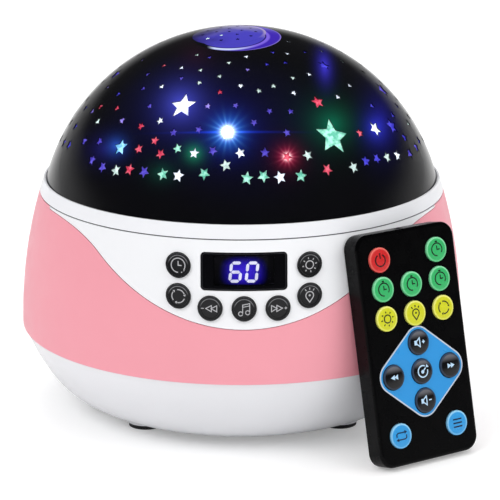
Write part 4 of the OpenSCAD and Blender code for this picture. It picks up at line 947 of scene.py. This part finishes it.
# Large stars: the same two angles, point radius, turn, colour
LARGE_STARS = [
    (-25, 41.5, 4.7, 8, "s"), (32, 52, 6.2, -14, "m"), (-43.5, 56.5, 3, 12, "c"),
    (52.5, 52.5, 2.9, 20, "w"), (32.5, 41, 2.6, 0, "r"), (-5.5, 49, 2.4, 10, "f"),
    (63, 53.5, 3.2, -10, "b"), (54, 29, 2.4, 30, "b"), (80, 44, 3.4, 5, "v"),
    (112, 50, 4.4, 15, "w"), (150, 42, 3, -8, "r"), (178, 53, 5.2, 10, "m"),
    (-148, 44, 3.4, 22, "c"), (-112, 52, 4.6, -12, "r"), (-84, 38, 2.8, 4, "v"),
]
# The lit films stand this far below the dome's outer face, less far in the moon; they are
# this thick and a little wider than their openings
FILM_DEPTH, TOP_FILM_DEPTH = 0.45, 0.06
FILM_T, FILM_GROW = 0.5, 1.02
# Least distance between two stars, and between a star and the moon
STAR_SPACE, MOON_SPACE = 0.6, 0.8


def star_size(polar):
    share = (polar - HIGHEST) / (LOWEST - HIGHEST)
    return HIGH_STAR_R + (LOW_STAR_R - HIGH_STAR_R) * share * abs(share)


placed = [star[:4] for star in LARGE_STARS]
placed += [(azimuth, polar, star_size(polar), i * 47 % 72)
           for i, (azimuth, polar) in enumerate(FRONT_STARS)]


def stands_clear(azimuth, polar, size):
    """Whether a star of the rows keeps off the placed stars and the moon."""
    d = direction(azimuth, polar)
    spaces = [SPHERE_R * (d - direction(other[0], other[1])).length - other[2] - size
              for other in placed]
    moon_off = hypot(SPHERE_R * d.x - MOON_C[0], SPHERE_R * d.y - MOON_C[1])
    return min(spaces) > STAR_SPACE and moon_off > MOON_R + size + MOON_SPACE


def row_stars():
    """Stars round the sides and the back, shifted a little from even rows."""
    for row, (row_polar, count) in enumerate(STAR_ROWS):
        for i in range(count):
            seed = row * 17 + i
            along = (seed * GOLDEN % 1 - 0.5) * 0.34
            polar = row_polar + (seed * GOLDEN * GOLDEN * 7 % 1 - 0.5) * 2.2
            azimuth = (i + along + row * 0.5) * 360 / count - 180
            size = star_size(polar)
            if abs(azimuth) > FRONT_REACH and stands_clear(azimuth, polar, size):
                yield azimuth, polar, size, seed * 47 % 72, seed


def row_colour(azimuth, polar, seed):
    palette = "mvprbwvclmprvb"
    if polar < 34:
        palette = "pwvbprl"
    elif polar > 40 and abs(azimuth) < 100:
        palette = "vbplvbw"
    return palette[seed * 5 % len(palette)]


def star_place(azimuth, polar):
    matrix = Matrix.Rotation(radians(azimuth), 4, "Z") @ Matrix.Rotation(radians(polar), 4, "X")

    def place(u, v, lift):
        r = SPHERE_R - FILM_DEPTH + lift
        return matrix @ Vector((u, v, sqrt(r * r - u * u - v * v))) + DOME_MIDDLE
    return place


def top_place(u, v, lift):
    """Places a point seen from above, below the dome's outer face."""
    r = SPHERE_R - TOP_FILM_DEPTH + lift
    return (u, v, DOME_MIDDLE.z + sqrt(r * r - u * u - v * v))


COLOURS = {
    "w": glow("star_white", (228, 238, 255), 1.25, scale=600, shade=0.45),
    "s": glow("star_large", (176, 186, 255), 1.35, vary=0.4, scale=130, shade=0.35, tint=0.9),
    "f": glow("star_flare", (255, 255, 255), 6.0, vary=0.1),
    "m": glow("star_mint", (96, 194, 166), 0.95, scale=640, shade=0.35, tint=0.4),
    "r": glow("star_red", (206, 44, 80), 0.85, scale=640, shade=0.4, tint=0.15),
    "v": glow("star_violet", (74, 58, 196), 0.6, scale=640, shade=0.3, tint=0.1),
    "l": glow("star_lilac", (140, 120, 230), 0.75, scale=640, shade=0.4, tint=0.2),
    "b": glow("star_blue", (52, 46, 200), 0.6, scale=640, shade=0.3, tint=0.06),
    "c": glow("star_cyan", (110, 190, 246), 1.0, scale=640, shade=0.35, tint=0.25),
    "p": glow("star_pale", (186, 212, 208), 0.85, scale=640, shade=0.4, tint=0.3),
}
groups = {key: Solid(None) for key in COLOURS}


def star_outline(size, turn=0.0):
    points = []
    for i in range(10):
        reach = size * (1.0 if i % 2 == 0 else 0.46)
        a = radians(90 + i * 36 + turn)
        points.append((reach * cos(a), reach * sin(a)))
    return points


def add_star(colour, azimuth, polar, size, turn):
    solid = groups[colour]
    solid.place = star_place(azimuth, polar)
    outline = [(u, v * STRETCH) for u, v in star_outline(size * FILM_GROW, turn)]
    solid.prism(outline, -FILM_T, 0.0, fan=True)


def add_moon_star(ring, i):
    """Lights one of the small openings that stand in rings inside the moon."""
    a = radians(i * 360 / (5 * ring) + 18 * ring)
    cu = MOON_DISC_C[0] + ring * MOON_DISC_R * 0.36 * cos(a)
    cv = MOON_DISC_C[1] + ring * MOON_DISC_R * 0.36 * sin(a)
    solid = groups["p"]
    solid.place = top_place
    solid.prism([(cu + u, cv + v) for u, v in star_outline(1.0)], -FILM_T, 0.0, fan=True)


for azimuth, polar, size, turn, colour in LARGE_STARS:
    add_star(colour, azimuth, polar, size, turn)
for star, colour in zip(placed[len(LARGE_STARS):], FRONT_COLOURS):
    add_star(colour, *star)
for azimuth, polar, size, turn, seed in row_stars():
    add_star(row_colour(azimuth, polar, seed), azimuth, polar, size, turn)
for ring, i in ((1, 3), (2, 5)):
    add_moon_star(ring, i)
for colour, solid in groups.items():
    solid.make("stars_" + colour, COLOURS[colour], "dome", "diffuser")

# The light in the crescent is brightest just outside this circle
LIT_C, LIT_R = (-3.0, -8.6), 11.0


def moon_material():
    """Lit film in the crescent opening, brightest along its front edge."""
    n = material_nodes("moon_glow")
    at = n.coords()
    far_off, du, dv = from_middle(n, at, LIT_C)
    edge = n.math("SUBTRACT", far_off, LIT_R * MM)
    right = n.ramp(du, -2 * MM, 9 * MM, 0.0, 1.0, smooth=True)
    left = n.ramp(du, -9 * MM, -6 * MM, 0.0, 1.0, smooth=True)
    line = n.times(n.ramp(edge, 0.3 * MM, 0.6 * MM, 0.0, 1.0, smooth=True),
                   n.ramp(edge, 1.2 * MM, 2.0 * MM, 1.0, 0.0, smooth=True))
    outside = n.math("SUBTRACT", MOON_R * MM, from_middle(n, at, MOON_C)[0])
    rim = n.times(n.ramp(outside, 0.2 * MM, 0.6 * MM, 0.55, 0.0), right)
    bright = n.mix_color(right, linear(208, 222, 255), linear(126, 100, 226))
    color = n.mix_color(line, linear(62, 36, 178), bright)
    color = n.mix_color(rim, color, linear(168, 150, 226))
    beyond = n.times(n.ramp(edge, 0.15 * MM, 0.4 * MM, 0.03, 1.0), left)
    color = n.mix_color(n.ramp(edge, -0.1 * MM, 0.1 * MM, 0.0, 1.0), moon_disc_color(n, at),
                        n.scaled(color, beyond))
    return n.done(n.shader(Base_Color=linear(7, 7, 12), Roughness=0.14, Emission_Color=color,
                           Emission_Strength=1.0))


def moon_film():
    """Film under the crescent: rows that cross it from the moon's circle to the disc's."""
    steps, parts = 72, 3
    outer, inner = MOON_R + 0.05, MOON_DISC_R - 0.05
    du, dv = MOON_C[0] - MOON_DISC_C[0], MOON_C[1] - MOON_DISC_C[1]
    gap = hypot(du, dv)
    along = (gap ** 2 + outer ** 2 - inner ** 2) / (2 * gap)
    reach = degrees(acos(-along / outer))
    axis = degrees(atan2(dv, du))
    solid = Solid(None)
    for lift in (0.0, -FILM_T):
        for pu, pv in arc(*MOON_C, outer, axis - reach, axis + reach, steps):
            # the nearest point of the disc's circle
            qu, qv = pu - MOON_DISC_C[0], pv - MOON_DISC_C[1]
            share = min(1.0, inner / hypot(qu, qv))
            qu, qv = MOON_DISC_C[0] + qu * share, MOON_DISC_C[1] + qv * share
            for k in range(parts + 1):
                u, v = pu + (qu - pu) * k / parts, pv + (qv - pv) * k / parts
                solid.vertices.append(top_place(u, v, lift))

    def at(layer, row, k):
        return (layer * (steps + 1) + row) * (parts + 1) + k

    for i in range(steps):
        for layer in (0, 1):
            for k in range(parts):
                solid.faces.append((at(layer, i, k), at(layer, i + 1, k), at(layer, i + 1, k + 1),
                                    at(layer, i, k + 1)))
        for k in (0, parts):
            solid.faces.append((at(0, i, k), at(0, i + 1, k), at(1, i + 1, k), at(1, i, k)))
    for i in (0, steps):
        for k in range(parts):
            solid.faces.append((at(0, i, k), at(0, i, k + 1), at(1, i, k + 1), at(1, i, k)))
    solid.make("moon_glow", moon_material(), "dome", "diffuser")


moon_film()

# ------------------------------------------------------------------ studio, in metres
# The photograph's width and the camera's focal length, both in pixels
PHOTO_W, FOCAL = 500, 2486
SENSOR_W = 36.0
CAMERA_AIM = Vector((2.95, 0.0, 52.8)) * MM
CAMERA_TURN, CAMERA_OFF = radians(-0.8), 0.876
LAMP_AIM = Vector((0, 0, 0.06))
# Light from all round on the object, and the least light that gloss mirrors
AMBIENT, MIRROR_LEAST = 0.64, 0.03
# The floor's own colour, and what it adds where the camera or gloss sees it
FLOOR_WHITE, FLOOR_SEEN, FLOOR_MIRRORED = 0.84, 0.26, 0.06


def look(obj, place, aim):
    """Puts a camera or a lamp at a place and turns it to its aim."""
    obj.location = place
    obj.rotation_mode = "QUATERNION"
    obj.rotation_quaternion = (Vector(aim) - Vector(place)).to_track_quat("-Z", "Y")


def add_camera():
    data = bpy.data.cameras.new("camera")
    data.sensor_width = SENSOR_W
    data.lens = FOCAL * SENSOR_W / PHOTO_W
    data.clip_start = 0.05
    data.clip_end = 20.0
    camera = add_object("camera", data)
    back = Matrix.Rotation(CAMERA_TURN, 3, "Z") @ Vector((0, -cos(ELEVATION), sin(ELEVATION)))
    look(camera, CAMERA_AIM + back * CAMERA_OFF, CAMERA_AIM)
    bpy.context.scene.camera = camera


def area_light(name, place, size, power):
    data = bpy.data.lights.new(name, "AREA")
    data.shape = "RECTANGLE"
    data.size, data.size_y = size
    data.energy = power
    light = add_object(name, data)
    light.visible_glossy = False
    look(light, place, LAMP_AIM)


def studio_world():
    """Even light; gloss mirrors a dark room with a bright band low at the sides and the back."""
    world = bpy.data.worlds.new("studio")
    bpy.context.scene.world = world
    n = Nodes(world, "ShaderNodeOutputWorld")

    def background(strength):
        return n.fill("ShaderNodeBackground", {"Color": (1, 1, 1), "Strength": strength})

    path = n.add("ShaderNodeLightPath").outputs
    way = n.split(n.coords("Generated"))
    band = n.times(n.ramp(way["Z"], 0.0, 0.30, 0.42, 0.0, smooth=True),
                   n.ramp(way["Y"], -0.35, 0.45, 0.0, 1.0, smooth=True))
    mirror = background(n.math("ADD", band, MIRROR_LEAST))
    lit = n.mix_shader(path["Is Glossy Ray"], background(AMBIENT), mirror)
    n.done(n.mix_shader(path["Is Camera Ray"], lit, background(1.0)))


def floor_material():
    n = material_nodes("studio_floor")
    path = n.add("ShaderNodeLightPath").outputs
    seen = n.math("ADD", n.times(path["Is Camera Ray"], FLOOR_SEEN),
                  n.times(path["Is Glossy Ray"], FLOOR_MIRRORED))
    diffuse = n.fill("ShaderNodeBsdfDiffuse", {"Color": (FLOOR_WHITE,) * 3})
    lit = n.fill("ShaderNodeEmission", {"Strength": seen})
    both = n.fill("ShaderNodeAddShader", {0: diffuse, 1: lit})
    # clear from below, so that the underside can be looked at
    below = n.add("ShaderNodeNewGeometry").outputs["Backfacing"]
    return n.done(n.mix_shader(below, both, n.fill("ShaderNodeBsdfTransparent", {})))


add_camera()
area_light("key", (-0.9, -0.9, 1.3), (0.9, 0.9), 9.9)
area_light("fill", (1.1, -0.7, 0.8), (0.8, 0.8), 5.2)
area_light("top", (0.0, 0.5, 1.5), (1.2, 0.8), 7.2)
studio_world()

bpy.ops.mesh.primitive_plane_add(size=12.0, location=(0, 0, 0))
ground = bpy.context.object
ground.name = "studio_floor"
ground.data.materials.append(floor_material())

bpy.context.scene.view_settings.view_transform = "Standard"
